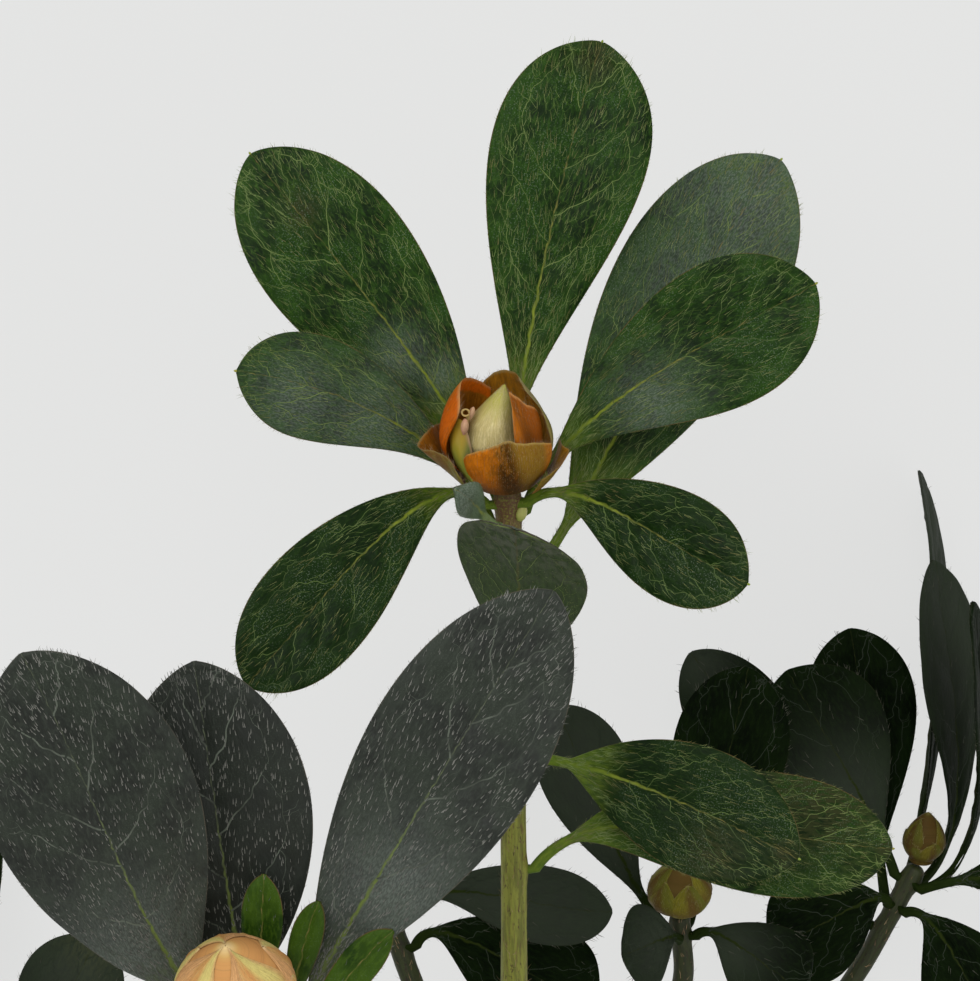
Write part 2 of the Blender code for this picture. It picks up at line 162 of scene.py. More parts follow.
RIGHT = Shoot(
    "right",
    [(6.0, -82, -50), (13, -77, -51), (24, -65, -52), (36, -51, -52), (43, -38.5, -50)],
    1.8,
    1.0,
    [
        Leaf(1.2, 90, (44.2, 2.1, -57.3), 11.0, roll=75),
        Leaf(1.2, 45, (44.6, -7, -47), 11.0, roll=55),
        Leaf(1.2, 185, (29.7, -18, -45), 13.0),
        Leaf(4.0, 130, (36.6, -14, -52), 11.0),
        Leaf(4.0, 230, (28, -46, -46), 11.0),
        Leaf(4.0, 300, (52, -56, -48), 11.0),
        Leaf(1.2, -50, (70, -38, -53), 12.0),
        Leaf(1.2, -2, (47.8, -11, -40), 10.0, roll=80),
        Leaf(7.0, 165, (20.5, -16.5, -54), 10.0),
    ],
)
SHOOTS = [MAIN, FRONT, LOW, BACK, MIDDLE, RIGHT]

# The main bud
BUD_FOOT = (1.45, 1.75, -5.05)
BUD_AXIS = (-0.07, 0.86, 0.5)
# The inner bud leans: its radius and how far it stands to the right of the bud's axis, at each height
CORE_HEIGHTS = (0.0, 2.0, 4.0, 6.0, 8.0, 9.0, 9.6)
CORE_RADII = (1.5, 2.25, 2.45, 2.0, 1.0, 0.42, 0.04)
CORE_LEAN = (0.0, -0.85, -1.15, -0.9, -0.15, 0.25, 0.5)
# Each scale: its foot's turns round the bud (0 faces front, 90 right) and its foot's radius; how ragged its
# rim is, how many hairs are on its face and on its edge, and its number, which varies its grain; and points
# along its edge: the turn, radius and height of each, and the radius half-way up to it
BUD_SCALES = [
    BudScale(
        "bud_scale_left",
        (-76, -156), 2.45, 0.12, 420, 190, 1,
        [
            (-84, 5.4, 3.4, 4.5), (-72, 5.2, 5.4, 5.1), (-61, 4.6, 7.0, 5.4), (-60, 4.2, 8.4, 5.7),
            (-76, 3.6, 9.5, 5.6), (-100, 3.1, 9.7, 5.3), (-125, 2.9, 9.0, 4.8), (-146, 2.8, 8.2, 4.1),
            (-166, 3.0, 7.2, 3.5),
        ],
    ),
    BudScale(
        "bud_scale_back",
        (-166, -280), 2.95, 0.14, 900, 170, 2,
        [
            (-156, 4.4, 6.8, 4.6), (-168, 4.2, 7.7, 4.7), (-182, 3.9, 8.3, 4.7), (-206, 3.4, 8.5, 4.6),
            (-232, 2.4, 8.4, 4.5), (-262, 2.4, 8.0, 4.4), (-279, 3.2, 7.2, 4.5), (-284, 3.9, 6.1, 4.4),
            (-282, 4.1, 4.7, 4.3),
        ],
    ),
    BudScale(
        "bud_scale_right",
        (20, 100), 2.35, 0.08, 900, 60, 3,
        [
            (18, 3.1, 5.6, 3.1), (22, 2.6, 7.6, 3.2), (32, 1.6, 8.9, 3.0), (45, 2.1, 8.4, 2.9),
            (57, 2.5, 7.7, 3.1), (71, 3.0, 7.0, 3.3), (86, 3.3, 6.0, 3.4),
        ],
    ),
    BudScale(
        "bud_scale_front",
        (-60, 58), 2.95, 0.1, 1100, 120, 4,
        [
            (-61, 4.5, 2.7, 4.0), (-44, 4.5, 4.1, 4.4), (-15, 4.2, 5.0, 4.6), (3, 4.1, 5.5, 4.6),
            (18, 4.2, 5.1, 4.6), (41, 4.5, 4.7, 4.5), (62, 4.8, 3.9, 4.4),
        ],
    ),
    BudScale(
        "bud_scale_low_left",
        (-46, -118), 3.8, 0.12, 420, 170, 5,
        [
            (-54, 4.95, 1.1, 4.65), (-58, 5.45, 2.3, 4.95), (-61, 5.8, 3.4, 5.1), (-71, 6.8, 4.0, 5.6),
            (-79, 8.0, 4.3, 5.85), (-88, 6.8, 5.0, 5.6), (-98, 6.3, 4.9, 5.35), (-110, 6.0, 4.4, 5.15),
        ],
    ),
    BudScale(
        "bud_scale_low_right",
        (34, 104), 3.8, 0.12, 420, 150, 6,
        [
            (42, 4.7, 0.9, 4.3), (50, 5.0, 1.1, 4.45), (62, 5.35, 1.4, 4.65), (73, 5.7, 1.8, 4.7),
            (80, 5.9, 2.2, 4.8), (90, 5.3, 2.2, 4.7), (104, 5.2, 2.3, 4.8),
        ],
    ),
]

# The plain buds: foot, axis, length and radius
PLAIN_BUDS = {
    "front_bud": ((-21.3, -45.2, 20.6), (-0.1, 0.75, 0.65), 11.0, 5.4),
    "middle_bud": ((18.5, -41.0, -35.2), (0, 0.8, 0.6), 6.5, 3.2),
    "right_bud": ((43.6, -37.4, -49.8), (0.1, 0.9, 0.4), 6.0, 2.2),
}


# ---------------------------------------------------------------- shared making


def waves(seed, *coordinates):
    """Smooth noise between about -1 and 1: sine waves that run in many directions."""
    rng = np.random.default_rng(seed)
    total = 0.0
    for octave in range(3):
        for _ in range(4):
            phase = rng.uniform(0, 2 * math.pi)
            for coordinate in coordinates:
                phase = phase + coordinate * rng.normal() * 2**octave
            total = total + np.sin(phase) / (2.5 * 2**octave)
    return total / 1.6


def unit(vectors):
    """The vectors along the last axis, each made 1 long."""
    return vectors / np.maximum(np.linalg.norm(vectors, axis=-1, keepdims=True), 1e-9)


def mesh_grid(rows, columns, low=-1.0, high=1.0, ends=True):
    """Two tables for a grid of points: 0 to 1 down its rows, and low to high along them."""
    across = np.linspace(low, high, columns, endpoint=ends)
    return np.meshgrid(np.linspace(0, 1, rows), across, indexing="ij")


def grid_faces(rows, columns, flip=False):
    """Quads between the points of a grid that is stored row by row."""
    corner = (np.arange(rows - 1)[:, None] * columns + np.arange(columns - 1)).ravel()
    quads = np.stack([corner, corner + 1, corner + columns + 1, corner + columns], axis=1)
    return quads[:, ::-1] if flip else quads


def ring_faces(rings, sides):
    """Quads between closed rings of points, with their outer side outward for rings that climb."""
    ring = np.arange(rings - 1)[:, None] * sides
    here = np.arange(sides)[None, :]
    onward = (here + 1) % sides
    quads = np.stack([ring + here, ring + onward, ring + onward + sides, ring + here + sides], axis=-1)
    return quads.reshape(-1, 4)


def add_piece(name, places, faces, material, replaced=(), values=None, uv=None):
    """A mesh piece of the branch. values are its named numbers and uv its map, one for each point."""
    mesh = bpy.data.meshes.new(name)
    world = (np.asarray(places, float) + LYING_SHIFT) * MM
    world[:, 2] = np.maximum(world[:, 2], 0.0)
    mesh.from_pydata(world.tolist(), [], [face for group in faces for face in np.asarray(group).tolist()])
    for key, numbers in (values or {}).items():
        attribute = mesh.attributes.new(key, "FLOAT", "POINT")
        attribute.data.foreach_set("value", np.asarray(numbers, np.float32))
    if uv is not None:
        corners = np.zeros(len(mesh.loops), np.int32)
        mesh.loops.foreach_get("vertex_index", corners)
        layer = mesh.uv_layers.new(name="OFBake")
        layer.uv.foreach_set("vector", np.asarray(uv, np.float32)[corners].ravel())
    mesh.shade_smooth()
    mesh.materials.append(material)
    obj = bpy.data.objects.new(name, mesh)
    bpy.context.scene.collection.objects.link(obj)
    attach(obj, "root")
    if replaced:
        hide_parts(*replaced)


# ---------------------------------------------------------------- the branch's own rule, as in the frame


def smooth_path(points, steps):
    """Points along a Catmull-Rom curve through the given ones."""
    given = [Vector(p) for p in points]
    ends = 2 * given[0] - given[1], 2 * given[-1] - given[-2]
    given = [ends[0], *given, ends[1]]
    path = []
    for a, b, c, d in zip(given, given[1:], given[2:], given[3:]):
        for k in range(steps):
            t = k / steps
            linear = (c - a) * t
            square = (2 * a - 5 * b + 4 * c - d) * t**2
            cube = (3 * b - a - 3 * c + d) * t**3
            path.append(0.5 * (2 * b + linear + square + cube))
    return [*path, given[-2]]


def stem_radius(shoot, share):
    return shoot.radius_tip + (shoot.radius_base - shoot.radius_tip) * (1 - share) ** TAPER


def place_below_tip(path, below):
    """A point that far down a path from its tip, the path's direction there, and its share of the path."""
    total = sum((b - a).length for a, b in zip(path, path[1:]))
    left = below
    for a, b in zip(reversed(path[:-1]), reversed(path[1:])):
        step = (b - a).length
        if left <= step:
            return b + (a - b) * (left / step), (b - a).normalized(), 1 - below / total
        left -= step
    raise ValueError("a leaf sits below the foot of its stem")


def half_width(leaf, t):
    """Half the leaf's width at t of its length: a slim stalk, then a blade, widest past its middle."""
    stalk = STALK_HALF_WIDTH * (1 - t)
    u = (t - STALK_SHARE) / (1 - STALK_SHARE)
    if u <= 0 or u >= 1:
        return max(TIP_HALF_WIDTH, stalk)
    widest = leaf.swell / (leaf.swell + BLADE_FALL)
    shape = (u / widest) ** leaf.swell * ((1 - u) / (1 - widest)) ** BLADE_FALL
    return max(TIP_HALF_WIDTH, math.hypot(stalk, leaf.width / 2 * shape))


def turned(vector, axis, degrees):
    return Matrix.Rotation(math.radians(degrees), 3, axis) @ vector


def midrib(leaf, shoot, path):
    """A function of t that gives a point of the midrib, its direction and the way the leaf faces there, and
    the place inside the stem that its stalk grows from."""
    centre, along, share = place_below_tip(path, leaf.below)
    right = (Vector((1, 0, 0)) - along * along.x).normalized()
    outward = turned(right, along, leaf.seat)
    start = turned(outward, along.cross(outward), -leaf.climb)
    tip = Vector(leaf.tip)
    chord = (tip - centre).normalized()
    face = Vector((0, 0, 1)) - chord * chord.z
    face = turned(face.normalized(), chord, leaf.roll)
    end = turned(chord, chord.cross(face), -leaf.arch)
    end = turned(end, face, leaf.sway)
    first_face = (face - start * face.dot(start)).normalized()
    first_side = start.cross(first_face)
    corner = abs(first_side.dot(outward)) * STALK_HALF_WIDTH
    corner += abs(first_face.dot(outward)) * STALK_THICKNESS / 2
    radius = stem_radius(shoot, share)
    root = centre + outward * (radius + CLEAR + corner)
    foot = centre + outward * max(0.2, radius - FOOT_DEPTH)
    reach = (tip - root).length
    bend = root, root + start * reach * START_PULL, tip - end * reach * END_PULL, tip

    def at(t):
        s = 1 - t
        point = bend[0] * s**3 + bend[1] * 3 * s * s * t + bend[2] * 3 * s * t * t + bend[3] * t**3
        way = (bend[1] - bend[0]) * s * s + (bend[2] - bend[1]) * 2 * s * t + (bend[3] - bend[2]) * t * t
        way.normalize()
        return point, way, (face - way * face.dot(way)).normalized()

    return at, foot


# ---------------------------------------------------------------- a leaf's surface


class Blade:
    """A leaf as rows along its midrib: where each lies, which way it faces, and how wide and high it is."""

    def __init__(self, name, leaf, shoot, path, rows, columns, seed):
        self.name = name
        self.width = leaf.width
        self.seed = seed
        at, foot = midrib(leaf, shoot, path)
        blade_t = 1 - (1 - np.linspace(0, 1, rows)) ** TIP_CROWDING
        spots = [at(t) for t in blade_t]
        root = spots[0][0]
        sunk = [foot.lerp(root, k / FOOT_ROWS) for k in range(FOOT_ROWS)]
        points = [*sunk, *(spot[0] for spot in spots)]
        ways = [spots[0][1]] * FOOT_ROWS + [spot[1] for spot in spots]
        ups = [spots[0][2]] * FOOT_ROWS + [spot[2] for spot in spots]
        self.point = np.array([tuple(p) for p in points])
        self.up = np.array([tuple(u) for u in ups])
        self.side = np.array([tuple(w.cross(u)) for w, u in zip(ways, ups)])
        steps = np.linalg.norm(np.diff(self.point, axis=0), axis=1)
        self.x = np.concatenate([[0.0], np.cumsum(steps)])
        self.x -= self.x[FOOT_ROWS]
        self.t = np.concatenate([self.x[:FOOT_ROWS] / self.x[-1], blade_t])
        widths = [half_width(leaf, t) for t in blade_t]
        flare = [widths[0] * (1.5 - 0.5 * k / FOOT_ROWS) for k in range(FOOT_ROWS)]
        self.half = np.array(flare + widths)
        self.length = self.x[-1]
        self.start = float(np.interp(STALK_SHARE, self.t, self.x))
        across = np.linspace(-1, 1, columns)
        self.s = np.sign(across) * np.abs(across) ** 1.1
        self.stalk = np.clip(1 - self.t / STALK_FADE, 0, 1)
        self.thickness = BLADE_THICKNESS + (STALK_THICKNESS - BLADE_THICKNESS) * self.stalk
        self.thickness *= np.clip((1 - self.t) / TIP_ROUNDING, 0, 1) ** 0.5
        self.lines = []
        self.ridge = np.zeros((len(self.t), columns))
        self.near_vein = np.zeros((len(self.t), columns))

    def bow(self, s):
        """How high the cupped blade stands over its midrib, as a share of its half width."""
        away = np.sqrt(s * s + 0.0025) - 0.05
        return LEAF_CUP * (away - 0.5 * s * s)

    def wall(self, s):
        """Half the thickness across the leaf, as a share: round in the stalk and flat in the blade."""
        flat = np.clip(1 - s**8, 0, 1) ** 0.5
        round_ = np.clip(1 - s**2, 0, 1) ** 0.5
        stalk = self.stalk[:, None]
        return flat * (1 - stalk) + round_ * stalk

    def raise_relief(self):
        """Sets the height of the upper face, with the midrib's groove, the veins and the quilting."""
        x = self.x[:, None]
        y = self.half[:, None] * self.s[None, :]
        blade = np.clip((self.t - STALK_SHARE) / BLADE_RISE, 0, 1)[:, None]
        spots = [spot for line in self.lines if line.strong for spot in zip(line.x, line.y)]
        distance = np.full(y.shape, 9.0)
        if spots:
            tree = kdtree.KDTree(len(spots))
            for index, spot in enumerate(spots):
                tree.insert((*spot, 0.0), index)
            tree.balance()
            whole_x = np.broadcast_to(x, y.shape)
            found = [tree.find((a, b, 0.0))[2] for a, b in zip(whole_x.ravel(), y.ravel())]
            distance = np.array(found).reshape(y.shape)
        edge = self.half[:, None] * (1 - np.abs(self.s[None, :]))
        inside = np.clip(edge / 0.8, 0, 1)
        self.near_vein = np.exp(-((distance / 0.3) ** 2)) * blade
        quilt = (1 - np.exp(-((distance / 0.9) ** 2))) * QUILT_RISE * inside
        relief = quilt - VEIN_DEPTH * np.exp(-((distance / 0.2) ** 2))
        relief = relief + BLADE_ROLL * waves(self.seed, x * 0.45 + 0 * y, y * 0.6)
        ripple = MARGIN_RIPPLE * waves(self.seed + 1, x * 0.22 + 0 * y, np.sign(y) * 2)
        ripple = ripple * np.abs(self.s[None, :]) ** 3
        t = np.clip(self.t, 0, 1)[:, None]
        groove = GROOVE_DEPTH * (1 - 0.75 * t) * np.exp(-((y / (0.55 - 0.35 * t)) ** 2))
        self.ridge = (relief + ripple - groove) * blade

    def sheet(self, upper):
        """Heights of the upper or the under face over the midrib's line."""
        height = self.bow(self.s)[None, :] * self.half[:, None]
        wall = self.wall(self.s[None, :]) * self.thickness[:, None] / 2
        if upper:
            return height + wall + self.ridge
        rib = RIB_DEPTH * (1 - 0.8 * np.clip(self.t, 0, 1)[:, None]) * (1 - self.stalk[:, None])
        rib = rib * np.exp(-((self.half[:, None] * self.s[None, :] / 0.4) ** 2))
        return height - wall + self.ridge - rib

    def rows_at(self, t):
        """The midrib's point, the side and up directions and the half width at each t."""
        point, side, up = (
            np.stack([np.interp(t, self.t, table[:, k]) for k in range(3)], axis=-1)
            for table in (self.point, self.side, self.up)
        )
        return point, side, up, np.interp(t, self.t, self.half)

    def place(self, x, y, lift=0.0):
        """Places on the face that shows, x along the leaf and y across it, raised by lift."""
        t = np.interp(x, self.x, self.t)
        point, side, up, half = self.rows_at(t)
        s = y / half
        row = np.clip(np.searchsorted(self.t, t) - 1, 0, len(self.t) - 2)
        column = np.clip(np.searchsorted(self.s, s) - 1, 0, len(self.s) - 2)
        u = (t - self.t[row]) / (self.t[row + 1] - self.t[row])
        v = (s - self.s[column]) / (self.s[column + 1] - self.s[column])
        v = np.clip(v, 0, 1)
        low = self.shown[row, column] * (1 - v) + self.shown[row, column + 1] * v
        high = self.shown[row + 1, column] * (1 - v) + self.shown[row + 1, column + 1] * v
        height = low * (1 - u) + high * u + lift * self.outward
        return point + side * y[:, None] + up * height[:, None]

    def finish(self, shows_underside):
        """Settles both faces, and which of them carries the drawn veins and the hairs."""
        self.raise_relief()
        self.top = self.sheet(True)
        self.bottom = self.sheet(False)
        self.shown = self.bottom if shows_underside else self.top
        self.outward = -1.0 if shows_underside else 1.0


Line = namedtuple("Line", "x y width strong")


def bend_line(a, b, c, d, count):
    """Points of a cubic curve between a and d."""
    q = np.linspace(0, 1, count)[:, None]
    a, b, c, d = (np.array(corner, float) for corner in (a, b, c, d))
    return a * (1 - q) ** 3 + b * 3 * q * (1 - q) ** 2 + c * 3 * q * q * (1 - q) + d * q**3


def wander(line, amount, rng):
    """The line with an uneven run, and both its ends kept."""
    count = len(line)
    knots = rng.normal(0, 1, max(4, count // 2))
    sideways = np.interp(np.linspace(0, 1, count), np.linspace(0, 1, len(knots)), knots)
    sideways *= amount * np.sin(np.linspace(0, math.pi, count)) ** 0.5
    run = unit(np.gradient(line, axis=0))
    return line + np.stack([-run[:, 1], run[:, 0]], axis=1) * sideways[:, None]


def draw_veins(blade, pairs, rng, strokes, side_width, fine_width):
    """Side veins that leave the midrib, fork short of the margin and join in a chain of arches, and the
    finer strokes between them."""

    def half(x):
        return np.interp(x, blade.x, blade.half)

    def add(corners, count, width, end_width, strong, uneven):
        line = wander(bend_line(*corners, count), uneven, rng)
        limit = half(line[:, 0]) * 0.96
        y = np.clip(line[:, 1], -limit, limit)
        blade.lines.append(Line(line[:, 0], y, np.linspace(width, end_width, len(line)), strong))
        return blade.lines[-1]

    span = blade.length - blade.start
    for hand in (-1, 1) if pairs else ():
        shares = (np.arange(pairs) + 0.35 + 0.25 * hand) / pairs * 0.92
        shares = shares + rng.uniform(-0.25, 0.25, pairs) / pairs
        feet = blade.start + span * np.clip(shares, 0.02, 0.9)
        forks = []
        for foot in feet:
            run = half(foot) * rng.uniform(0.55, 0.95) + 0.4
            fork_x = min(foot + run, blade.start + 0.95 * span)
            fork_y = hand * half(fork_x) * rng.uniform(0.5, 0.66)
            forks.append((fork_x, fork_y))
            early = (foot + 0.3 * (fork_x - foot), 0.42 * fork_y)
            late = (foot + 0.66 * (fork_x - foot), 0.8 * fork_y)
            corners = (foot, 0), early, late, (fork_x, fork_y)
            add(corners, 20, side_width, 0.6 * side_width, True, 0.16)
        first = (blade.start + 0.02 * span, 0.15 * hand)
        last_x = blade.start + 0.965 * span
        chain = [first, *forks, (last_x, hand * 0.35 * half(last_x))]
        for (ax, ay), (bx, by) in zip(chain, chain[1:]):
            gap = bx - ax
            wide = half(0.5 * (ax + bx)) * hand
            early = (ax + 0.3 * gap, ay + 0.24 * wide)
            late = (bx - 0.25 * gap, by + 0.16 * wide)
            arch = add(((ax, ay), early, late, (bx, by)), 24, fine_width, 0.9 * fine_width, True, 0.2)
            for _ in range(3):
                k = rng.integers(3, 19)
                x, y = arch.x[k], arch.y[k]
                out = (half(x) * 0.93 - abs(y)) * rng.uniform(0.6, 1.0)
                ahead = rng.uniform(0.4, 1.3)
                end = (x + ahead, y + hand * out)
                middle = (x + 0.15 * ahead, y + hand * 0.6 * out)
                corners = (x, y), middle, middle, end
                add(corners, 10, 0.7 * fine_width, 0.4 * fine_width, False, 0.12)
    for _ in range(strokes):
        x = rng.uniform(blade.start + 0.03 * span, blade.start + 0.96 * span)
        y = rng.uniform(-0.9, 0.9) * half(x)
        away = math.copysign(rng.normal(0.34, 0.25), y)
        reach = rng.uniform(0.7, 1.9)
        end = (x + reach * math.cos(away), y + reach * math.sin(away))
        lean = rng.normal(0, 0.16)
        middle = (0.5 * (x + end[0]), 0.5 * (y + end[1]) + lean)
        width = rng.uniform(0.015, 0.034)
        add(((x, y), middle, middle, end), 6, width, width * 0.6, False, 0.04)
        if rng.random() < 0.3:
            fork = (middle[0] + rng.uniform(0.2, 0.7), middle[1] + rng.normal(0, 0.45))
            add((middle, middle, fork, fork), 4, width * 0.8, width * 0.5, False, 0.02)


class Joined:
    """Many small forms that become one mesh, each point with its named numbers."""

    def __init__(self):
        self.places = []
        self.faces = []
        self.values = {}
        self.count = 0

    def keep(self, places, faces, **values):
        """Adds a form: its places, groups of faces that count from 0, and numbers for its places."""
        self.places.append(places.reshape(-1, 3))
        self.faces.extend(group + self.count for group in faces)
        self.count += len(self.places[-1])
        for key, numbers in values.items():
            spread = np.broadcast_to(numbers, places.shape[:-1])
            self.values.setdefault(key, []).append(spread.ravel())

    def as_piece(self, name, material, slot, replaced=(), uv=None):
        values = {key: np.concatenate(numbers) for key, numbers in self.values.items()}
        add_piece(name, np.concatenate(self.places), self.faces, material, replaced, values, uv)


class Ribbons(Joined):
    """Flat lines that follow leaf surfaces."""

    def add(self, blade, lines):
        x, y, width = (np.concatenate(numbers) for numbers in list(zip(*lines))[:3])
        run_x, run_y = (np.concatenate([np.gradient(line[axis]) for line in lines]) for axis in (0, 1))
        size = np.maximum(np.hypot(run_x, run_y), 1e-6)
        across_x = -run_y / size * width / 2
        across_y = run_x / size * width / 2
        left = blade.place(x + across_x, y + across_y, RIBBON_LIFT)
        right = blade.place(x - across_x, y - across_y, RIBBON_LIFT)
        starts = np.cumsum([0] + [len(line.x) for line in lines])
        near = [2 * (start + np.arange(len(line.x) - 1)) for start, line in zip(starts, lines)]
        faces = [np.stack([foot + 1, foot, foot + 2, foot + 3], axis=1) for foot in near]
        self.keep(np.stack([left, right], axis=1), faces)


class Hairs(Joined):
    """Slivers with a bend: each is a quad from its foot to its bend and a triangle from there to its tip."""

    def add(self, left, right, bend_left, bend_right, tip):
        root = 5 * np.arange(len(tip))
        quads = np.stack([root + 1, root, root + 2, root + 3], axis=1)
        triangles = np.stack([root + 3, root + 2, root + 4], axis=1)
        self.keep(np.stack([left, right, bend_left, bend_right, tip], axis=1), [quads, triangles])

    def lay_on(self, blade, x, y, angle, length, rise, width):
        """Hairs that lie on the face of a leaf that shows: each has its place, heading, length and rise."""
        ahead, aside = np.cos(angle), np.sin(angle)
        nx, ny = -aside * width / 2, ahead * width / 2
        mid_x, mid_y = x + ahead * length * 0.5, y + aside * length * 0.5
        left = blade.place(x + nx, y + ny, 0.0)
        right = blade.place(x - nx, y - ny, 0.0)
        nx, ny, bend_rise = HAIR_NARROWING * nx, HAIR_NARROWING * ny, 0.65 * rise
        bend_left = blade.place(mid_x + nx, mid_y + ny, bend_rise)
        bend_right = blade.place(mid_x - nx, mid_y - ny, bend_rise)
        tip = blade.place(x + ahead * length, y + aside * length, rise)
        self.add(left, right, bend_left, bend_right, tip)

    def stand_on(self, root, heading, length, width, flat_to, droop=0.0):
        """Hairs from places with headings, each a sliver that faces flat_to and droops along it."""
        heading = unit(heading)
        across = unit(np.cross(heading, flat_to)) * (width / 2)
        narrow = HAIR_NARROWING * across
        middle = root + heading * (0.5 * length)[:, None]
        tip = root + heading * length[:, None] + flat_to * (droop * length)[:, None]
        self.add(root + across, root - across, middle + narrow, middle - narrow, tip)


# ---------------------------------------------------------------- materials


def darkened(colour, share):
    return tuple(share * part for part in colour)


class Value:
    """What a node gives. Sums, products and the like of it add nodes."""

    def __init__(self, graph, socket):
        self.graph = graph
        self.socket = socket

    def __add__(self, other):
        return self.graph.math("ADD", self, other)

    def __radd__(self, other):
        return self.graph.math("ADD", other, self)

    def __sub__(self, other):
        return self.graph.math("SUBTRACT", self, other)

    def __rsub__(self, other):
        return self.graph.math("SUBTRACT", other, self)

    def __mul__(self, other):
        return self.graph.math("MULTIPLY", self, other)

    def __truediv__(self, other):
        return self.graph.math("DIVIDE", self, other)

    def __pow__(self, other):
        return self.graph.math("POWER", self, other)

    def __abs__(self):
        return self.graph.math("ABSOLUTE", self)


class Graph:
    """A Principled material and short calls that add nodes to it."""

    def __init__(self, name, roughness, specular, sheen=0.0):
        self.material = bpy.data.materials.new(name)
        self.material.use_nodes = True
        self.tree = self.material.node_tree
        self.shader = self.tree.nodes["Principled BSDF"]
        self.colour = None
        self.set("Roughness", roughness)
        self.set("Specular IOR Level", specular)
        self.set("Sheen Weight", sheen)
        self.set("Sheen Roughness", 0.45)

    def put(self, socket, value):
        if isinstance(value, Value):
            self.tree.links.new(value.socket, socket)
        elif socket.type == "RGBA":
            socket.default_value = (*value, 1.0)
        else:
            socket.default_value = value

    def set(self, name, value):
        self.put(self.shader.inputs[name], value)

    def node(self, kind, output, inputs, **settings):
        """Adds a node with its settings and its inputs, and gives what comes out of it."""
        node = self.tree.nodes.new("ShaderNode" + kind)
        for name, setting in settings.items():
            setattr(node, name, setting)
        for name, value in inputs.items():
            self.put(node.inputs[name], value)
        return Value(self, node.outputs[output])

    def math(self, operation, *values):
        return self.node("Math", 0, dict(enumerate(values)), operation=operation)

    def blend(self, share, first, second):
        return self.node("Mix", 2, {0: share, 6: first, 7: second}, data_type="RGBA")

    def paint(self, over, share, strength=None):
        """Lays another colour over the one so far, as far as the share and its strength say."""
        share = share if strength is None else share * strength
        self.colour = self.blend(share, self.colour, over)

    def step(self, value, low, high):
        """0 where the value is under low and 1 where it is over high, smooth between them."""
        inputs = {"Value": value, "From Min": low, "From Max": high}
        return self.node("MapRange", 0, inputs, interpolation_type="SMOOTHSTEP")

    def value(self, name):
        """The mesh's own numbers of that name."""
        return self.node("Attribute", "Fac", {}, attribute_name=name)

    def place(self):
        """Where a point lies, in the piece's own metres."""
        return self.node("TexCoord", "Object", {})

    def vector(self, x, y, z):
        return self.node("CombineXYZ", 0, {0: x, 1: y, 2: z})

    def noise(self, vector, scale, detail=3.0, roughness=0.55, flat=False):
        inputs = {"Scale": scale, "Detail": detail, "Roughness": roughness, "Vector": vector}
        return self.node("TexNoise", "Fac", inputs, noise_dimensions="2D" if flat else "3D")

    def cell_edges(self, vector, scale):
        """How far each point is from the nearest edge of an uneven net."""
        settings = {"voronoi_dimensions": "2D", "feature": "DISTANCE_TO_EDGE"}
        return self.node("TexVoronoi", "Distance", {"Scale": scale, "Vector": vector}, **settings)

    def bump(self, height, distance_mm, strength=1.0):
        inputs = {"Strength": strength, "Distance": distance_mm * MM, "Height": height}
        self.set("Normal", self.node("Bump", 0, inputs))


# fresh is how far along a leaf its stalk's colour starts to fade
# silver is the pale colour laid over a blade's silvery places: partly its hairs, partly painted sheen
COLOUR_FIELDS = "dark middle light vein stalk rib_tip rim under bronze silver fresh"
LeafColours = namedtuple("LeafColours", COLOUR_FIELDS)

GREEN = LeafColours(
    dark=(0.003, 0.012, 0.001),
    middle=(0.008, 0.031, 0.0015),
    light=(0.026, 0.072, 0.006),
    vein=(0.09, 0.16, 0.025),
    stalk=(0.19, 0.235, 0.022),
    rib_tip=(0.14, 0.12, 0.035),
    rim=(0.09, 0.06, 0.02),
    under=(0.045, 0.068, 0.018),
    bronze=(0.026, 0.03, 0.008),
    silver=(0.17, 0.2, 0.17),
    fresh=0.26,
)
SLATE = GREEN._replace(
    dark=(0.008, 0.0105, 0.007),
    middle=(0.014, 0.02, 0.012),
    light=(0.029, 0.037, 0.026),
    vein=(0.06, 0.07, 0.05),
    stalk=(0.11, 0.15, 0.024),
    rib_tip=(0.09, 0.105, 0.06),
    rim=(0.06, 0.05, 0.032),
    under=(0.05, 0.085, 0.022),
    fresh=0.2,
)
# Painted shade: near-black colours for the leaves of the shoots that lie in shadow behind the main one;
# their silver is a painted grey sheen
SHADE = GREEN._replace(
    dark=(0.001, 0.003, 0.0004),
    middle=(0.0025, 0.0065, 0.001),
    light=(0.005, 0.0125, 0.0018),
    vein=(0.007, 0.013, 0.004),
    stalk=(0.02, 0.03, 0.004),
    rib_tip=(0.025, 0.03, 0.008),
    rim=(0.012, 0.015, 0.006),
    under=(0.014, 0.024, 0.006),
    silver=(0.08, 0.095, 0.07),
    fresh=0.2,
)
YOUNG = GREEN._replace(
    dark=(0.01, 0.03, 0.001),
    middle=(0.025, 0.058, 0.002),
    light=(0.045, 0.09, 0.006),
    vein=(0.07, 0.12, 0.015),
    stalk=(0.1, 0.14, 0.01),
)
BRACT = GREEN._replace(
    dark=(0.028, 0.065, 0.02),
    middle=(0.05, 0.1, 0.035),
    light=(0.1, 0.16, 0.08),
    rim=(0.1, 0.12, 0.08),
    silver=(0.3, 0.34, 0.28),
)


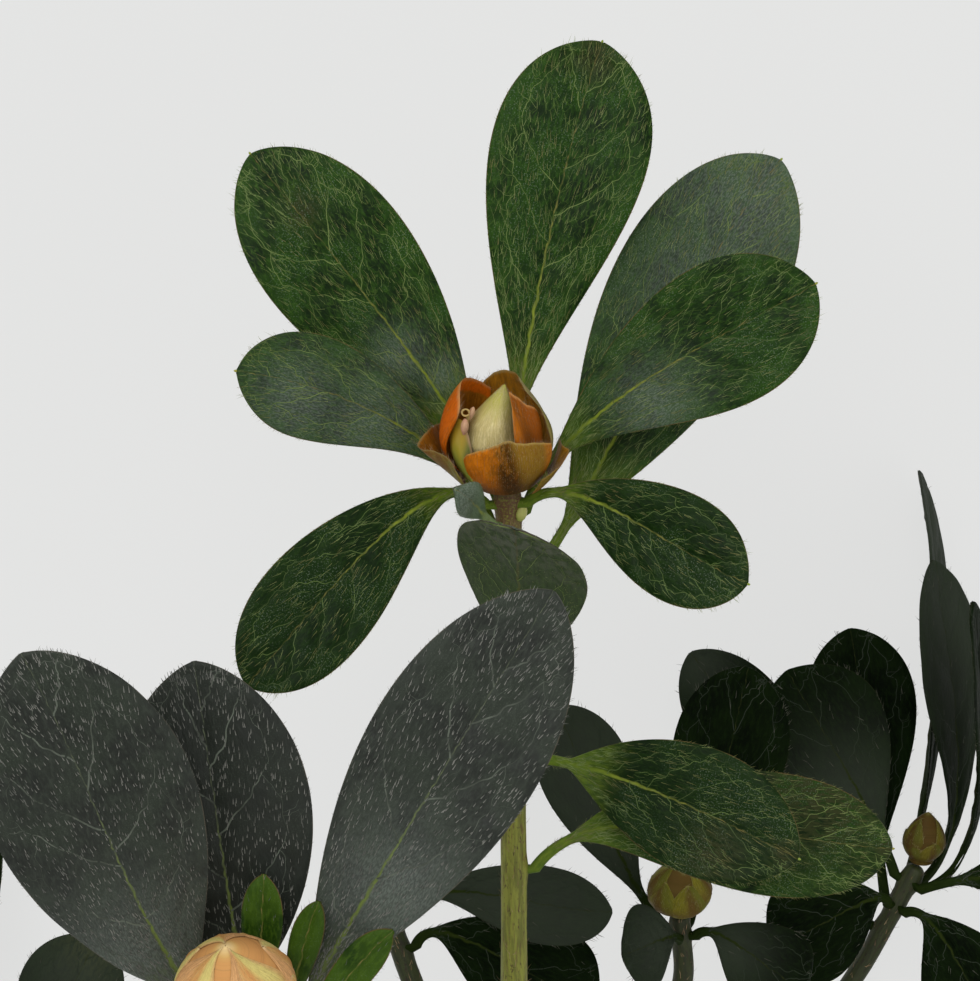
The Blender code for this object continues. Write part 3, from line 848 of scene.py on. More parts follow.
def leaf_material(name, colours, roughness, specular, sheen, net, glints, grit):
    """A leaf's colours over its flat frame: x along it and y across it, in millimetres. net, glints and grit
    are how strongly its finest veins, its glints and the grain of its silvery places show."""
    g = Graph(name, roughness, specular, sheen)
    x, y, t = g.value("leaf_x"), g.value("leaf_y"), g.value("leaf_t")
    edge, top, own = g.value("leaf_edge"), g.value("leaf_top"), g.value("leaf_number")
    flat = g.vector(x + own * 9.0, y, 0.0)
    stretched = g.vector(x * 0.42 + own, y * 1.25, 0.0)
    shift = g.noise(flat, 0.9, 1.0, flat=True)
    bent = g.vector(x * 0.5 + shift + own, y * 1.25 + shift * 1.6, 0.0)

    cloud = g.noise(flat, 0.22, 2.0, flat=True)
    grain = g.noise(stretched, 2.4, 3.0, 0.65, flat=True)
    g.colour = g.blend(g.step(cloud, 0.35, 0.65), colours.dark, colours.middle)
    outer = (1.0 - g.step(edge, 0.3, 3.2)) * g.step(cloud, 0.3, 0.55)
    g.paint(colours.light, outer, 0.3)
    g.paint(colours.light, g.step(grain, 0.42, 0.72), 0.6)
    web = 1.0 - g.step(g.cell_edges(bent, 1.6), 0.0, 0.07)
    web = web * g.step(shift, 0.38, 0.6)
    g.paint(colours.vein, web * net)
    g.paint(colours.light, g.value("leaf_vein"), 0.3)

    # Leaves listed in DIM are painted darker; on the lower leaves of the whorl this is painted shade
    g.paint(colours.dark, g.value("leaf_dim"))
    bronze = g.value("leaf_bronze") * g.step(grain, 0.3, 0.6)
    g.paint(colours.bronze, bronze)
    # Partly hair colour and partly painted sheen: a pale silvery colour over the blade's listed silvery
    # places
    glitter = g.step(g.noise(stretched, 6.5, 1.0, flat=True), 0.42, 0.62)
    silver = g.value("leaf_silver_sheen") * (glitter * grit + (0.45 - 0.5 * grit))
    g.paint(colours.silver, silver, 0.75)
    # Painted glints: small pale specks in cloudy patches that stand for highlights on the blade's fine bumps
    sparkle = g.step(g.noise(flat, 7.0, 1.0, 0.7, flat=True), 0.62, 0.72)
    glint_patches = g.step(cloud, 0.42, 0.65) * glints
    g.paint((0.2, 0.25, 0.18), sparkle * glint_patches)

    reach = abs(y + (shift - 0.5) * 0.35)
    slim = g.math("MAXIMUM", 1.0 - t, 0.0) ** 2.8
    rib_width = slim * 0.42 + 0.05
    rib = 1.0 - g.step(reach / rib_width, 0.3, 1.3)
    rib_colour = g.blend(g.step(t + grain * 0.3, 0.45, 0.9), colours.stalk, colours.rib_tip)
    rib_colour = g.blend(g.step(grain, 0.35, 0.7) * 0.35, rib_colour, colours.light)
    broken = g.step(t, 0.35, 0.8) * g.step(grain, 0.3, 0.6)
    g.paint(rib_colour, rib * (1.0 - broken * 0.8))

    under = g.blend(grain, colours.under, colours.middle)
    under = g.blend(web * 0.2, under, colours.vein)
    under_rib = 1.0 - g.step(reach / (rib_width + 0.08), 0.5, 1.1)
    under = g.blend(under_rib * 0.6, under, g.blend(t, colours.stalk, (0.06, 0.045, 0.015)))
    haze = g.step(shift, 0.35, 0.65) * g.step(t + cloud * 0.3, 0.75, 1.15)
    under = g.blend(haze * 0.6, under, (0.11, 0.115, 0.085))
    g.colour = g.blend(top, under, g.colour)
    stalk = 1.0 - g.step(t + grain * 0.12, colours.fresh, colours.fresh + 0.18)
    fresh = tuple(0.7 * s + 0.5 * m for s, m in zip(colours.stalk, colours.light))
    g.paint(g.blend(grain, fresh, colours.light), stalk, 0.9)
    margin = (1.0 - g.step(edge, 0.03, 0.1)) * g.step(cloud, 0.35, 0.6)
    g.paint(colours.rim, margin * g.step(t, 0.2, 0.3))
    g.set("Base Color", g.colour)
    g.bump(grain, 0.1, 0.8)
    g.set("Roughness", cloud * 0.3 + (roughness - 0.15))
    return g.material


def thread_material(name, colour, other, roughness=0.6, specular=0.3):
    """Hairs and vein lines: one plain colour that drifts to another from place to place."""
    g = Graph(name, roughness, specular)
    g.set("Base Color", g.blend(g.step(g.noise(g.place(), 400.0, 2.0), 0.35, 0.65), colour, other))
    return g.material


def bark_material(name, green, brown, woody, silver):
    """Young bark: green, with brown specks and streaks along it, and woody towards its foot."""
    g = Graph(name, 0.55, 0.3)
    along, share = g.value("stem_along"), g.value("stem_share")
    cross_x, cross_y = g.value("stem_x"), g.value("stem_y")
    streaks = g.vector(cross_x * 2.6, cross_y * 2.6, along * 0.35)
    even = g.vector(cross_x, cross_y, along)
    long_grain = g.noise(streaks, 1.0, 6.0, 0.62)
    fine_grain = g.noise(even, 4.5, 5.0, 0.6)
    woodiness = 1.0 - g.step(share + long_grain * 0.3, 0.3, 0.62)
    g.colour = g.blend(g.step(long_grain, 0.38, 0.66), green, darkened(green, 0.55))
    g.paint(brown, g.step(g.noise(streaks, 2.2, 3.0), 0.56, 0.68), 0.7)
    flecks = g.noise(g.vector(cross_x * 2.2, cross_y * 2.2, along * 1.1), 1.7, 3.0)
    g.paint(darkened(brown, 0.5), g.step(flecks, 0.6, 0.68), 0.8)
    wood = g.blend(g.step(long_grain, 0.35, 0.65), woody, silver)
    wood = g.blend(g.step(fine_grain, 0.5, 0.7) * 0.5, wood, darkened(woody, 0.4))
    g.paint(wood, woodiness)
    brown_tip = g.step(share, 0.93, 0.985) * g.step(fine_grain, 0.3, 0.55)
    g.paint(brown, brown_tip * g.value("stem_brown_tip"))
    core = g.value("stem_core")
    ring = g.blend(g.step(core, 0.25, 0.34), (0.42, 0.36, 0.2), (0.5, 0.42, 0.24))
    ring = g.blend(g.step(core, 0.8, 0.86), ring, (0.2, 0.24, 0.07))
    ring = g.blend(g.step(g.noise(even, 9.0, 3.0), 0.5, 0.7), ring, (0.3, 0.22, 0.1))
    g.colour = g.blend(g.step(core, 0.93, 0.97), ring, g.colour)
    g.set("Base Color", g.colour)
    g.bump(long_grain * 0.7 + fine_grain * 0.5, 0.12, 0.9)
    return g.material


def scale_material(name, main, side, keel, inner, hem, lip=0.0, lip_from=-2.0):
    """A papery bud scale: its main colour, another over part of it, a dark keel and a thin pale hem. lip is
    how strongly its main colour runs over the rim, and lip_from how far across it that starts."""
    g = Graph(name, 0.5, 0.04)
    h, s = g.value("scale_h"), g.value("scale_s")
    inside, own = g.value("scale_in"), g.value("scale_number")
    spot = g.vector(s * 4.0, h * 2.4, own)
    ribs = g.vector(s * 8.0, h * 1.6, own)
    grain = g.noise(ribs, 2.6, 4.0, 0.65)
    mottle = g.noise(spot, 1.6, 4.0, 0.6)
    g.colour = g.blend(g.step(grain, 0.35, 0.7), main, darkened(main, 0.6))
    over = g.step(s + mottle * 1.2 + h * 0.5, 0.45, 1.2)
    over = over * (1.0 - g.step(s, 0.72, 0.95) * 0.7)
    g.paint(g.blend(grain, side, darkened(side, 0.7)), over)
    middle = s + (h * 0.3 + (-0.28 + mottle * 0.2))
    ridge = 1.0 - g.step(abs(middle), 0.08, 0.44)
    g.paint(keel, ridge * g.step(mottle + (1.0 - h) * 0.4, 0.3, 0.7))
    foot = 1.0 - g.step(h + mottle * 0.4, 0.25, 0.75)
    g.paint(keel, foot, 0.75)
    dim = g.blend(g.step(grain, 0.3, 0.7), inner, darkened(inner, 0.55))
    # Painted shade: the inside darkens towards the foot, deep in the scale's hollow
    dim = g.blend(1.0 - g.step(h, 0.1, 0.6), dim, darkened(inner, 0.35))
    turned_over = g.step(h + mottle * 0.08, 0.88, 0.92)
    lipped = g.step(s, lip_from, lip_from + 0.3) * lip
    dim = g.blend(turned_over * lipped, dim, main)
    g.paint(dim, inside)
    freckles = g.step(g.noise(g.vector(s * 13.0, h * 9.0, own), 1.6, 4.0, 0.75), 0.46, 0.66)
    g.paint(darkened(main, 0.3), freckles, 0.38)
    glints = g.step(g.noise(g.vector(s * 24.0, h * 22.0, own), 1.0, 1.0), 0.66, 0.76)
    g.paint(hem, glints, 0.3)
    edge = g.step(h + grain * 0.06, 0.985, 1.03)
    g.paint(hem, edge, 0.6)
    g.set("Base Color", g.colour)
    g.bump(grain, 0.08, 0.9)
    g.set("Roughness", mottle * 0.3 + 0.3)
    return g.material


def petal_material(name, pale, warm, deep, blush):
    """The smooth petal: green-yellow, warm towards its top, painted dark green as shade where it lies by the
    inner bud, and pink at its end.
    """
    g = Graph(name, 0.3, 0.4)
    h, s, own = g.value("scale_h"), g.value("scale_s"), g.value("scale_number")
    cloud = g.noise(g.vector(s * 2.0, h * 2.0, own), 1.4, 2.0)
    g.colour = g.blend(g.step(h + cloud * 0.4, 0.6, 1.1), pale, warm)
    # Painted shade: dark green on the side of the petal by the inner bud
    g.paint(deep, g.step(s, 0.3, 0.85) * g.step(h, 0.3, 0.7))
    top = g.step(h, 0.9, 1.0) * g.step(s + cloud * 0.3, 0.15, 0.45)
    g.paint(blush, top, 0.5)
    g.set("Base Color", g.colour)
    return g.material


def silky_material(name, pale, warm, tip, shade):
    """The inner bud: pale silk laid up its length, with painted shade on its right side, and greener at the
    tip.
    """
    g = Graph(name, 0.5, 0.3)
    h, s, own = g.value("scale_h"), g.value("scale_s"), g.value("scale_number")
    to_right = g.value("core_right")
    silk = g.noise(g.vector(s * 14.0, h * 4.0, own), 2.2, 5.0, 0.75)
    cloud = g.noise(g.vector(s * 2.0, h * 2.0, own), 1.7, 2.0)
    g.colour = g.blend(g.step(silk, 0.3, 0.62), pale, warm)
    speckle = g.step(g.noise(g.vector(s * 9.0, h * 9.0, own), 3.0, 4.0, 0.8), 0.4, 0.62)
    # Painted shade on the inner bud's right side, less of it higher up; the same dark colour also paints its
    # speckles everywhere
    right_side_shade = g.step(to_right + cloud * 0.9 + h * -0.2, 0.35, 1.15)
    g.paint(shade, speckle, 0.22)
    g.paint(shade, right_side_shade * (speckle * 0.5 + 0.3))
    g.paint(tip, g.step(h + cloud * 0.2, 0.72, 1.05))
    g.set("Base Color", g.colour)
    g.bump(silk, 0.05, 0.7)
    return g.material


def floor_material():
    """Plain paper that glows a little, so that the shadows on it stay pale."""
    g = Graph("floor_paper", 0.9, 0.1)
    fibres = g.noise(g.place(), 900.0, 1.0)
    g.set("Base Color", g.blend(fibres * 0.04, (0.09, 0.09, 0.09), (0.07, 0.07, 0.07)))
    g.set("Emission Color", (0.995, 1.0, 0.99))
    g.set("Emission Strength", 0.68)
    return g.material


# ---------------------------------------------------------------- leaves

# How each kind of leaf is made: its material's name, the rows and columns of its blade, its pairs of side
# veins, its veinlets for each square millimetre, the widths of its side veins and of its finer ones, and its
# hairs
LeafKind = namedtuple("LeafKind", "material rows columns pairs strokes side_width fine_width coat")
# A leaf's hairs: how many for each square millimetre, and their length, rise, width and scatter. Then those
# of its margin: their spacing, length and width
Coat = namedtuple("Coat", "density length rise width scatter spacing fringe fringe_width")
FINE_COAT = Coat(1.6, 0.95, 0.1, 0.034, 0.14, 0.3, 0.45, 0.028)
BRISTLES = Coat(3.2, 0.55, 0.12, 0.08, 0.1, 0.35, 0.45, 0.035)
SPARSE_COAT = Coat(0.15, 0.8, 0.12, 0.05, 0.3, 0.5, 0.6, 0.04)
SOFT_COAT = Coat(0.5, 0.5, 0.12, 0.03, 0.2, 0.35, 0.4, 0.03)
FELT = Coat(5.0, 0.35, 0.12, 0.03, 0.6, 0.16, 0.35, 0.025)
DOWN = Coat(3.0, 0.4, 0.2, 0.022, 0.7, 0.2, 0.4, 0.022)
WHORL = LeafKind("whorl_leaf", 130, 47, 6, 1.1, 0.07, 0.045, FINE_COAT)
BROAD = LeafKind("slate_leaf", 110, 41, 5, 0.05, 0.16, 0.045, BRISTLES)
PLAIN = LeafKind("shade_leaf", 72, 31, 5, 0.1, 0.08, 0.05, SPARSE_COAT)
SMALL = LeafKind("young_leaf", 44, 21, 0, 0.0, 0.08, 0.05, SOFT_COAT)
UNDERSIDE = LeafKind("grey_leaf", 110, 41, 6, 0.1, 0.06, 0.04, FELT)
FUZZY = LeafKind("bract_leaf", 50, 25, 0, 0.0, 0.05, 0.04, DOWN)

# Brown or bronze places on blades: how far along, how far across, and the size as a share of the length
BRONZE = {
    "main_leaf_1": [(0.96, 0.0, 0.05)],
    "main_leaf_7": [(0.82, 0.05, 0.045)],
    "main_leaf_10": [(0.74, 0.55, 0.1), (0.95, 0.1, 0.05)],
    "main_leaf_11": [(0.8, -0.75, 0.2), (0.98, 0.0, 0.05)],
    "low_leaf_1": [(0.95, 0.0, 0.12)],
    "front_leaf_4": [(0.95, 0.0, 0.15)],
}
# Places where a blade is painted silvery, in the same way: partly the pale colour of its hairs, partly
# painted sheen where its gloss would catch the light
SILVER_SHEEN = {
    "main_leaf_6": [(0.55, -0.5, 0.2), (0.8, -0.3, 0.15)],
    "main_leaf_7": [(0.45, -0.2, 0.07), (0.36, 0.3, 0.06)],
    "main_leaf_2": [(0.92, 0.1, 0.22), (0.7, 0.3, 0.2)],
    "main_leaf_3": [(0.5, 0.5, 0.12)],
    "main_leaf_8": [(0.9, 0.3, 0.25), (0.75, -0.6, 0.15)],
    "main_leaf_9": [(0.97, 0.3, 0.12), (0.5, -0.2, 0.1)],
    "front_leaf_1": [(0.3, -0.4, 0.16)],
    "front_leaf_3": [(0.4, 0.4, 0.12)],
    "low_leaf_1": [(0.8, 0.0, 0.3)],
    "back_leaf_1": [(0.55, 0.0, 0.9)],
    "middle_leaf_1": [(0.6, 0.0, 0.9)],
    "middle_leaf_3": [(0.5, 0.0, 0.6)],
    "middle_leaf_4": [(0.4, 0.3, 0.3)],
    "right_leaf_1": [(0.9, 0.0, 0.3)],
    "right_leaf_2": [(0.8, 0.0, 0.3)],
    "right_leaf_3": [(0.4, -0.5, 0.3)],
    "right_leaf_9": [(0.95, 0.0, 0.12)],
}
# Leaves painted darker than their kind, and by how much; on the lower leaves of the whorl this is painted
# shade
DIM = {
    "main_leaf_3": 0.1,
    "main_leaf_4": 0.65,
    "main_leaf_5": 0.65,
    "main_leaf_10": 0.7,
    "front_leaf_2": 0.7,
}


# Steps of an even, patternless spread over a square
EVEN_SPREAD = (0.7549, 0.5698)
BLADE_FILL = 0.75  # of its length times its width
TIP_KNOB = 0.15  # radius of the swollen point at a leaf's tip


def leaf_kind(family, number):
    if family == "main":
        return {8: FUZZY, 9: UNDERSIDE}.get(number, WHORL)
    if family == "front":
        return SMALL if number >= 6 else BROAD
    return PLAIN


def patches(blade, table):
    """How near each point of a blade is to the leaf's places in a table: 1 at their middles."""
    y = blade.half[:, None] * blade.s
    near = np.zeros(y.shape)
    for along, across, size in table.get(blade.name, []):
        off_x = (blade.t[:, None] - along) * blade.length
        off_y = y - across * np.interp(along, blade.t, blade.half)
        near = np.maximum(near, np.exp(-(off_x**2 + off_y**2) / (size * blade.length) ** 2))
    return near


def leaf_mesh(blade, material, number):
    """The leaf's two faces, which share their margin's place, as one piece."""
    rows, columns = blade.ridge.shape
    along_rows = np.ones(columns)
    tables = {
        "leaf_x": blade.x[:, None] * along_rows,
        "leaf_y": blade.half[:, None] * blade.s,
        "leaf_t": blade.t[:, None] * along_rows,
        "leaf_edge": blade.half[:, None] * (1 - np.abs(blade.s)),
        "leaf_vein": blade.near_vein,
        "leaf_bronze": patches(blade, BRONZE),
        "leaf_silver_sheen": patches(blade, SILVER_SHEEN),
    }
    whole = {"leaf_dim": DIM.get(blade.name, 0.0), "leaf_number": 7.3 * number}
    v = 0.01 + 0.98 * (blade.x - blade.x[0]) / (blade.x[-1] - blade.x[0])
    shell, uv = Joined(), []
    for top in (True, False):
        s = blade.s if top else np.linspace(-1, 1, columns // 3 | 1)

        def at_s(table):
            return np.array([np.interp(s, blade.s, row) for row in table])

        across = (blade.half[:, None] * s)[..., None] * blade.side[:, None, :]
        height = at_s(blade.top if top else blade.bottom)[..., None]
        places = blade.point[:, None, :] + across + blade.up[:, None, :] * height
        numbers = {key: at_s(table) for key, table in tables.items()}
        shell.keep(places, [grid_faces(rows, len(s), not top)], leaf_top=float(top), **numbers, **whole)
        u_low, u_wide = (0.01, 0.6) if top else (0.64, 0.35)
        uv.append(np.stack(np.meshgrid(u_low + u_wide * (s + 1) / 2, v), axis=-1).reshape(-1, 2))
    shell.as_piece(f"{blade.name}_blade", material, "leaf", [blade.name], np.concatenate(uv))


def lay_hairs(hairs, blade, coat, rng):
    """Hairs that point along the leaf, evenly spread over its face, and a fringe out of its margin."""
    span = blade.length - blade.start
    count = int(span * blade.width * BLADE_FILL * coat.density)
    order = np.arange(count) + rng.uniform(-0.3, 0.3, count)
    x = blade.start + span * (-0.05 + 1.03 * (order * EVEN_SPREAD[0] % 1))
    half = np.interp(x, blade.x, blade.half)
    y = (1.94 * (order * EVEN_SPREAD[1] % 1) - 0.97) * half
    angle = rng.normal(0, coat.scatter, count) + 0.12 * np.sign(y)
    size = coat.length * rng.uniform(0.6, 1.3, count)
    hairs.lay_on(blade, x, y, angle, size, coat.rise * rng.uniform(0.3, 1.4, count), coat.width)
    for hand in (-1, 1):
        count = int((blade.length - 0.5 * blade.start) / coat.spacing)
        x = rng.uniform(0.5 * blade.start, blade.length * 0.995, count)
        half = np.interp(x, blade.x, blade.half)
        angle = hand * rng.normal(0.6, 0.22, count)
        size = coat.fringe * rng.uniform(0.4, 1.3, count)
        rise = rng.normal(0.05, 0.2, count)
        hairs.lay_on(blade, x, hand * half * 0.985, angle, size, rise, coat.fringe_width)


def tip_knob(blade, size=TIP_KNOB):
    """Places and faces of the swollen point at a leaf's tip."""
    point, side, up, _ = blade.rows_at(np.array([1.0]))
    way = np.cross(up[0], side[0])
    centre = point[0] + up[0] * blade.top[-1, blade.top.shape[1] // 2] * 0.5 + way * size * 0.35
    rings = [(-1.0, 0.35), (-0.5, 0.8), (0.1, 1.0), (0.7, 0.8), (1.2, 0.4), (1.45, 0.05)]
    angles = np.linspace(0, 2 * math.pi, 10, endpoint=False)
    places = [
        centre + way * along * size + (side[0] * np.cos(a) * 0.8 + up[0] * np.sin(a) * 0.7) * wide * size
        for along, wide in rings
        for a in angles
    ]
    return np.array(places), [ring_faces(len(rings), len(angles))]


# ---------------------------------------------------------------- stems

STEM_STEPS = 18
STEM_SIDES = 30
COLLAR = 0.22  # how far a stem swells round a stalk's foot
BARK_SWELL = 0.05
BARK_GRAIN = 0.03
CUT_RINGS = (1.0, 0.94, 0.72, 0.45, 0.2, 0.02)  # over the foot end of a stem, as shares of its radius
CUT_ROUGHNESS = 0.04
SUNK_STEP = 0.8  # of a side stem's two steps into the main one
FLARE = 0.2  # of a side stem's foot, as a share of its radius
TIP_STEPS = (15, 35, 55, 75, 88)  # degrees round a closed tip
TIP_HEIGHT = 0.7  # of a closed tip, as a share of its radius
HAIR_CROWDING = 0.6  # under 1: a stem's hairs crowd towards its tip
STEM_HAIR_WIDTH = 0.055


def stem_frames(path):
    """Each point's direction, and the directions to the right of it and behind it."""
    points = np.array([tuple(p) for p in path])
    way = unit(np.gradient(points, axis=0))
    right = unit(np.array([1.0, 0.0, 0.0]) - way * way[:, :1])
    return points, way, right, np.cross(way, right)


def stem_piece(shoot, material, hair_tangle, hair_count, seed, cut):
    """A stem with a swelling under each stalk, its ridged bark and its ends."""
    rng = np.random.default_rng(seed)
    path = smooth_path(shoot.points, STEM_STEPS)
    if not cut:
        inward = (path[0] - path[4]).normalized()
        path = [path[0] + inward * 2 * SUNK_STEP, path[0] + inward * SUNK_STEP, *path]
    points, way, right, behind = stem_frames(path)
    along = np.concatenate([[0.0], np.cumsum(np.linalg.norm(np.diff(points, axis=0), axis=1))])
    share = along / along[-1]
    angle = np.linspace(0, 2 * math.pi, STEM_SIDES, endpoint=False)
    radius = np.repeat(np.array([stem_radius(shoot, s) for s in share])[:, None], STEM_SIDES, axis=1)
    cos, sin = np.cos(angle)[None, :], np.sin(angle)[None, :]
    radius = radius + BARK_SWELL * waves(seed, 1.8 * radius * cos, 1.8 * radius * sin, 0.3 * along[:, None])
    radius = radius + BARK_GRAIN * waves(seed + 1, 4 * radius * cos, 4 * radius * sin, 0.6 * along[:, None])
    for leaf in shoot.leaves:
        seat = math.radians(leaf.seat)
        off = (angle[None, :] - seat + math.pi) % (2 * math.pi) - math.pi
        reach = along[:, None] - (along[-1] - leaf.below)
        radius = radius + COLLAR * np.exp(-((off / 0.65) ** 2) - (reach / 0.9) ** 2)
    if not cut:
        radius = radius * (1 + FLARE * np.exp(-along / 1.2))[:, None]
    outward = right[:, None, :] * cos[..., None] + behind[:, None, :] * sin[..., None]
    rings = points[:, None, :] + outward * radius[..., None]
    ends = [points[0] + (rings[0] - points[0]) * wide for wide in CUT_RINGS[:0:-1]]
    if cut:
        ends = [end + way[0] * CUT_ROUGHNESS * rng.normal(0, 1, (STEM_SIDES, 1)) for end in ends]
    tips = []
    for degrees in TIP_STEPS:
        turn = math.radians(degrees)
        rise = way[-1] * stem_radius(shoot, 1.0) * math.sin(turn) * TIP_HEIGHT
        tips.append(points[-1] + (rings[-1] - points[-1]) * math.cos(turn) + rise)
    places = np.concatenate([np.array(ends), rings, np.array(tips)])
    count = len(places)
    before, after = len(ends), len(tips)
    whole = np.concatenate([np.full(before, 0.0), along, np.full(after, along[-1])])
    core = np.concatenate([CUT_RINGS[:0:-1] if cut else np.ones(before), np.ones(len(along) + after)])
    size = np.pad(radius, ((before, after), (0, 0)), "edge") * core[:, None]
    brown_tip = 1.0 if shoot is MAIN else 0.0
    values = {
        "stem_along": np.repeat(whole, STEM_SIDES),
        "stem_share": np.repeat(whole / along[-1], STEM_SIDES),
        "stem_x": (size * cos).ravel(),
        "stem_y": (size * sin).ravel(),
        "stem_core": np.repeat(core, STEM_SIDES),
        "stem_brown_tip": np.full(count * STEM_SIDES, brown_tip),
    }
    faces = [
        ring_faces(count, STEM_SIDES),
        [list(range(STEM_SIDES))[::-1]],
        [list(range((count - 1) * STEM_SIDES, count * STEM_SIDES))],
    ]
    name = f"{shoot.family}_stem"
    add_piece(f"{name}_bark", places.reshape(-1, 3), faces, material, [name], values)

    pick = 4 + ((len(points) - 4) * rng.random(hair_count) ** HAIR_CROWDING).astype(int)
    turn = rng.integers(0, STEM_SIDES, hair_count)
    heading = outward[pick, turn] * rng.uniform(0.25, 0.8, (hair_count, 1)) + way[pick]
    heading = unit(heading + 0.25 * rng.normal(0, 1, (hair_count, 3)))
    length = rng.uniform(0.5, 1.1, hair_count)
    flat_to = np.cross(np.cross(heading, outward[pick, turn]), heading)
    root = rings[pick, turn] - 0.03 * outward[pick, turn]
    hair_tangle.stand_on(root, heading, length, STEM_HAIR_WIDTH, flat_to, -0.1)


# ---------------------------------------------------------------- buds

SCALE_FOOT = -0.75  # under the top of the disc that carries the scales
SCALE_ROWS = 36
SCALE_STEPS = 7  # columns between two named points of a scale's rim
SCALE_WALL = 0.1
FACE_HAIR_WIDTH = 0.016
EDGE_HAIR_WIDTH = 0.02
EARLY_TURN = 1.2  # how soon a scale leaves the turn of its foot, and how soon it climbs
EARLY_CLIMB = 0.9
# A smooth petal between the left scale and the inner bud, which the frame doesn't hold
INNER_LEFT = BudScale(
    "bud_inner_left",
    (-96, -46), 2.9, 0.02, 0, 0, 8,
    [
        (-88, 4.6, 4.6, 4.4), (-82, 4.6, 5.8, 4.6), (-72, 4.2, 6.6, 4.8), (-63, 3.8, 6.2, 4.7),
        (-56, 3.7, 5.0, 4.5), (-50, 3.8, 3.8, 4.3),
    ],
)

# The inner bud's wraps: the turn of each one's middle, half its spread, how proud it stands and its share of
# the bud's height
SILK_WRAPS = [(-150, 110, 0.0, 1.0), (70, 100, 0.04, 0.995), (-34, 80, 0.16, 1.0)]
SILK_GRID = (44, 41)
SILK_SHARE = 0.94  # of the frame's height for the inner bud
SILK_HAIRS = 1500  # for each wrap
SILK_HAIR_WIDTH = 0.014

# Round forms from heights with their radii: what the bud sits on, the small bud in a leaf's axil, and two
# crumpled petal ends beside the inner bud with the foot and the lean of each
SEAT = [
    (-2.0, 1.15), (-1.6, 1.5), (-1.1, 2.2), (-0.7, 2.75), (-0.3, 2.9), (0.1, 2.6), (0.2, 1.6), (0.2, 0.1),
]
AXIL_PLACE = ((2.8, -2.3, -6.2), (0.3, 1.0, 0.3))
AXIL = [(-0.5, 0.2), (-0.2, 0.42), (0.2, 0.52), (0.6, 0.46), (0.95, 0.3), (1.2, 0.13), (1.27, 0.02)]
CRUMPLES = {
    "bud_petal_low": (
        ((-2.35, 5.3, 0.0), (0.1, 1.0, 0.5)),
        [(-0.3, 0.1), (0.0, 0.26), (0.3, 0.36), (0.7, 0.36), (1.0, 0.28), (1.25, 0.14), (1.3, 0.02)],
    ),
    "bud_petal_top": (
        ((-1.85, 6.6, -0.6), (0.4, 1.0, 0.3)),
        [(-0.3, 0.1), (0.0, 0.22), (0.3, 0.3), (0.6, 0.28), (0.85, 0.2), (1.0, 0.1), (1.05, 0.02)],
    ),
}
# The bent tube in front of the inner bud: the middle and the radii of its loop, then steps down its stalk
# with the radius at each
LOOP_CENTRE = (-2.2, 7.0, 0.4)
LOOP_RADII = (0.33, 0.3, 0.25)
STYLE_STEP = (-0.1, -0.35, -0.55)
STYLE_STALK = {0.4: 0.12, 1.0: 0.15, 2.0: 0.2, 3.0: 0.25}

# A closed bud's whorls of scales, its material, how long its hairs are, and the share of its length that is
# left as its scales bend over its tip
PLAIN_FINISHES = {
    "front_bud": (3, "peach_bud", 0.08, 0.84),
    "middle_bud": (3, "olive_bud", 0.6, 0.92),
    "right_bud": (2, "dark_bud", 0.5, 0.92),
}
CLOSED_CORE = (24, 28)  # rows and sides of the egg under a closed bud's scales
CLOSED_GRID = (16, 15)
CLOSED_HAIRS = 60  # for each scale
CLOSED_HAIR_WIDTH = 0.035


def bud_frame(foot, axis):
    """A matrix with Z up the bud and -Y towards the face of the branch, so that a turn of 0 faces front."""
    z = Vector(axis).normalized()
    front = (Vector((0, 0, 1)) - z * z.z).normalized()
    x = (-front).cross(z)
    matrix = Matrix((x, -front, z)).transposed().to_4x4()
    matrix.translation = Vector(foot)
    return np.array(matrix)


def in_frame(matrix, places):
    return places @ matrix[:3, :3].T + matrix[:3, 3]


def round_place(radius, angle, height):
    return np.stack([radius * np.cos(angle), radius * np.sin(angle), height], axis=-1)


def scale_shell(spec, matrix):
    """A scale's outer places, inner places and outward directions, row by row from its foot to its rim."""
    rim = np.array([tuple(point) for point in smooth_path(spec.rim, SCALE_STEPS)])
    rim_turn, rim_radius, rim_height, belly = rim.T
    h, s = mesh_grid(SCALE_ROWS, len(rim_turn))
    first, last = spec.foot
    foot_turn = first + (last - first) * (s + 1) / 2
    tall = rim_height + spec.ragged * waves(spec.number + 9, 9.0 * s[0])
    turn = foot_turn + (rim_turn - foot_turn) * (EARLY_TURN * h * (1 - h) + h * h)
    bulge = 2 * belly - (spec.foot_radius + rim_radius) / 2
    radius = spec.foot_radius * (1 - h) ** 2 + bulge * 2 * h * (1 - h) + rim_radius * h * h
    radius = radius + 0.08 * h * waves(spec.number, 3.0 * s, 2.5 * h)
    radius = radius + 0.025 * waves(spec.number + 50, 12.0 * s, 4 * h)
    height = SCALE_FOOT + (tall - SCALE_FOOT) * (EARLY_CLIMB * h * (1 - h) + h * h)
    middle = in_frame(matrix, round_place(radius, np.radians(turn - 90), height))
    outward = unit(np.cross(np.gradient(middle, axis=1), np.gradient(middle, axis=0)))
    if last < first:
        outward = -outward
    wall = SCALE_WALL / 2 * np.clip(1 - s**20, 0, 1) ** 0.5 * np.clip((1 - h**20), 0, 1) ** 0.5
    offset = outward * wall[..., None]
    return h, s, middle + offset, middle - offset, outward


